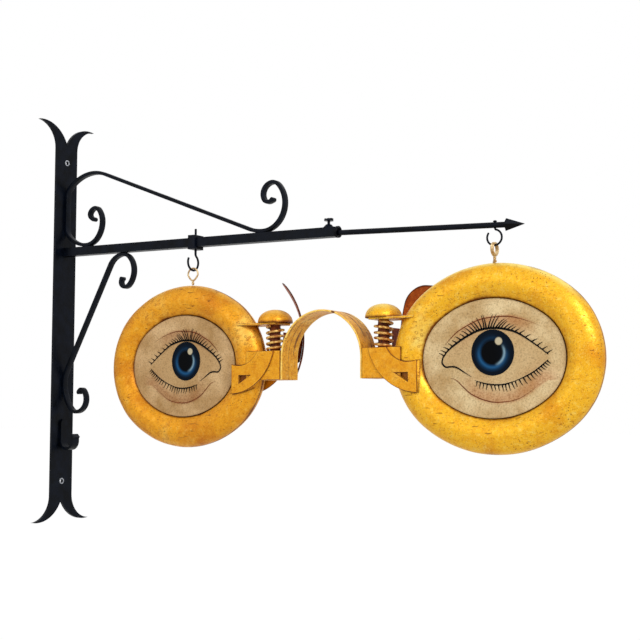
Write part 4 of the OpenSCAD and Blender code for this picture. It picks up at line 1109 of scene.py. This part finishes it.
def strapWay(settings):
    # the strap's middle line: up one leg, over the half circle and down the other
    middle = settings["radius"] - settings["thick"] / 2
    turn = np.linspace(np.pi, 0, 200)
    leg = np.linspace(settings["low"], settings["centre"], 30)[:-1]
    flat = np.vstack([np.stack([np.full(29, -middle), leg], axis=1),
                      np.stack([middle * np.cos(turn),
                                settings["centre"] + middle * np.sin(turn)], axis=1),
                      np.stack([np.full(29, middle), leg[::-1]], axis=1)])
    flat = even(flat, settings["step"])
    return np.stack([signX + flat[:, 0], 0 * flat[:, 0], frameZ + flat[:, 1]], axis=1)


def strapSection(settings):
    # a flat section with round corners, and points along both flats to carry the wear
    ring = roundBar(settings["wide"], settings["thick"], settings["round"], 3)
    steps = np.linspace(-0.5, 0.5, 26)[1:-1] * (settings["wide"] - 2 * settings["round"])
    half = settings["thick"] / 2
    return np.vstack([ring[:4], np.stack([steps[::-1], np.full(24, half)], 1), ring[4:12],
                      np.stack([steps, np.full(24, -half)], 1), ring[12:]])


def bridgeStrap(settings):
    # the section carried along the strap's way, dented inwards, with edges that wander
    path = strapWay(settings)
    profile = strapSection(settings)[None].repeat(len(path), 0)
    rings = carried(path, profile, (0, 1, 0))
    dents = settings["dent"] * (ripple(rings, settings["dentWave"], 61) - 1)
    rings[..., 1] *= 1 - settings["edgeUneven"] * (1 + ripple(path, settings["edgeWave"],
                                                              62))[:, None]
    out = rings - np.array([signX, 0, frameZ + settings["centre"]])
    out[..., 1] = 0
    rings += unit(out) * dents[..., None]
    # old varnish in streaks along the strap, some 60 mm long and 7 mm wide, painted
    # highlights that make its edges paler, and one dark nick in the front edge near the top
    edge = settings["edgeHighlight"] * bell(np.abs(profile[..., 0]) - settings["wide"] / 2,
                                       settings["edgeSoft"])
    along = np.arange(len(path))[:, None] * settings["step"] / settings["streakLonger"]
    streaks = ripple(np.stack([along + 0 * profile[..., 0], profile[..., 0],
                               0 * profile[..., 0]], axis=-1), settings["streak"], 63)
    nick = np.array([signX + settings["nickX"], -settings["wide"] / 2,
                     frameZ + settings["centre"] + settings["nickUp"]])
    fromNick = np.linalg.norm(rings - nick, axis=-1)
    lip = (0.85 * smoothStep(streaks, 0.08, 0.34) * (edge < 0.5)
           + 3 * bell(fromNick, settings["nickSize"]))
    gridPiece("bridge_arch_strap", rings, [archGold], "sign",
              ("bridge_arch",), sharp=50, attributes={"worn": edge, "lip": lip})


bridgeStrap(strap)
for side in (-1, 1):
    gold, slot = sideGilding[side]
    name = sideName[side] + "_"
    for node, width in (("block", 0.7), ("front_cheek", 0.8), ("back_cheek", 0.8)):
        softened(name + node, [cheekGold, grimeAndShadowEdge], "sign", width)
    softened(name + "tie_plate", [gold, edgeWearAndLight], "sign", 0.7)
    softened(name + "pad_arm", [redBrown], "sign", 0.4)

springPost = {"u": 88, "foot": 18, "high": 37, "radius": 8.5, "wire": 3.4, "coil": 11.7,
              "curls": 4.25, "gap": 0.3, "waist": 0.5, "play": 0.25, "uneven": 0.012}
# power is the bun's roundness: 2 is a half ellipse, and more is fuller
dome = {"radius": 25.25, "high": 19, "sheet": 1.2, "foot": 58, "power": 2.15, "uneven": 0.3,
        "rolledEdge": 2.4, "shadedFrom": 0.5}


def springAndPost(side, seed):
    # a post with one shallow waist for each curl, and the coil that stands free round it
    p = springPost
    name = sideName[side] + "_"
    centre = np.array([signX + side * p["u"], 0, frameZ + p["foot"]])
    heights = np.linspace(0, p["high"], 38)
    curlTurn = heights / p["high"] * fullTurn * p["curls"]
    waist = p["radius"] - p["play"] - p["waist"] * (1 + np.cos(curlTurn)) / 2
    lathe(name + "post_core", np.stack([waist, heights], axis=1), centre, [coreBrown], "sign",
          (name + "post",), seed=seed, uneven=p["play"])
    low = p["gap"] + p["wire"] / 2
    share = np.linspace(0, 1, 260)
    turn = share * p["curls"] * fullTurn
    lift = low + (p["high"] - 2 * low) * (share + p["uneven"] * np.sin(turn * 0.5 + seed))
    path = np.stack([side * p["coil"] * np.cos(turn), -p["coil"] * np.sin(turn), lift],
                    axis=1) + centre
    rings = carried(path, circle(16)[None].repeat(len(path), 0) * p["wire"] / 2, (0, 0, 1))
    gridPiece(name + "spring_wire", rings, [springWire], "sign",
              (name + "spring",))
    return centre[0]


def domeCap(side, x, seed):
    # a bun whose radius and height are sine and cosine to the power 2 / power, with the
    # same curve a sheet smaller inside; darker brown at its rolled edge, painted shade down
    # one side, and a painted highlight that makes its top paler
    d = dome
    turnDown = np.linspace(0, np.pi / 2, 40)
    skin = np.stack([d["radius"] * np.sin(turnDown) ** (2 / d["power"]),
                     d["high"] * np.cos(turnDown) ** (2 / d["power"])], axis=1)
    inner = (d["radius"] - d["sheet"]) / d["radius"]
    profile = np.vstack([skin[1:], skin[:0:-1] * inner])
    turn = turnsOf(96)
    edge = 0.9 * bell(profile[:, 1:], d["rolledEdge"]) + 0 * turn
    # painted shade: one side darker
    shaded = 0.55 * smoothStep(np.cos(turn - d["shadedFrom"]), 0.1, 1)
    # painted highlight: the top paler
    paleHighlight = 0.9 * smoothStep(profile[:, 1:], 6, 17) + 0 * turn
    gold, slot = sideGilding[side]
    name = sideName[side] + "_dome"
    lathe(name + "_cap", profile, (x, 0, frameZ + d["foot"]), [gold], "sign", (name,),
          count=len(turn), seed=seed, uneven=d["uneven"],
          attributes={"lip": edge + shaded, "worn": paleHighlight})


for side, seed in ((-1, 71), (1, 72)):
    domeCap(side, springAndPost(side, seed), seed)
print("bridge ready")


nosePad = {"wide": 56, "high": 139, "thick": 2.5, "bend": 130, "middle": 38, "low": -16,
           "flare": 33.6, "y": 84.5, "u": 94, "corner": 24, "drop": {1: 17, -1: 0},
           "play": 0.15, "edgeDirt": 0.95}


def padSkin(side):
    # a rounded shield outline filled with rings, laid on a cylinder bent about a level
    # axis, given its thickness along the cylinder's radius and a soft edge
    p = nosePad
    outline = roundBar(p["wide"], p["high"], p["corner"], 14)
    outline = even(np.vstack([outline, outline[:1]]), 2.6)[:-1]
    share = np.concatenate([np.linspace(0.02, 0.985, 34), [1.0, 1.0, 0.985],
                            np.linspace(0.95, 0.02, 8)])
    depth = np.concatenate([np.full(34, 0.0), [0.35, 0.8, 1.0], np.full(8, 1.0)])
    across = share[:, None] * outline[:, 0]
    height = share[:, None] * outline[:, 1] + p["high"] / 2 + p["low"] - p["middle"]
    radius = p["bend"] - p["thick"] * depth[:, None] - p["play"]
    normal = radius * np.cos(np.arcsin(height / p["bend"])) - p["bend"]
    turn = np.radians(90 - p["flare"])
    u = p["u"] + across * np.cos(turn) - normal * np.sin(turn)
    y = p["y"] + across * np.sin(turn) + normal * np.cos(turn)
    points = toSign(side, u, y, height + p["middle"] - p["drop"][side])
    name = sideName[side] + "_nose_pad"
    edge = p["edgeDirt"] * smoothStep(share[:, None] + 0 * u, 0.955, 1.0)
    gridPiece(name + "_plate", points, [rustyPad], "sign", (name,),
              sharp=45, attributes={"lip": edge})


padSkin(-1)
padSkin(1)
print("pads ready")
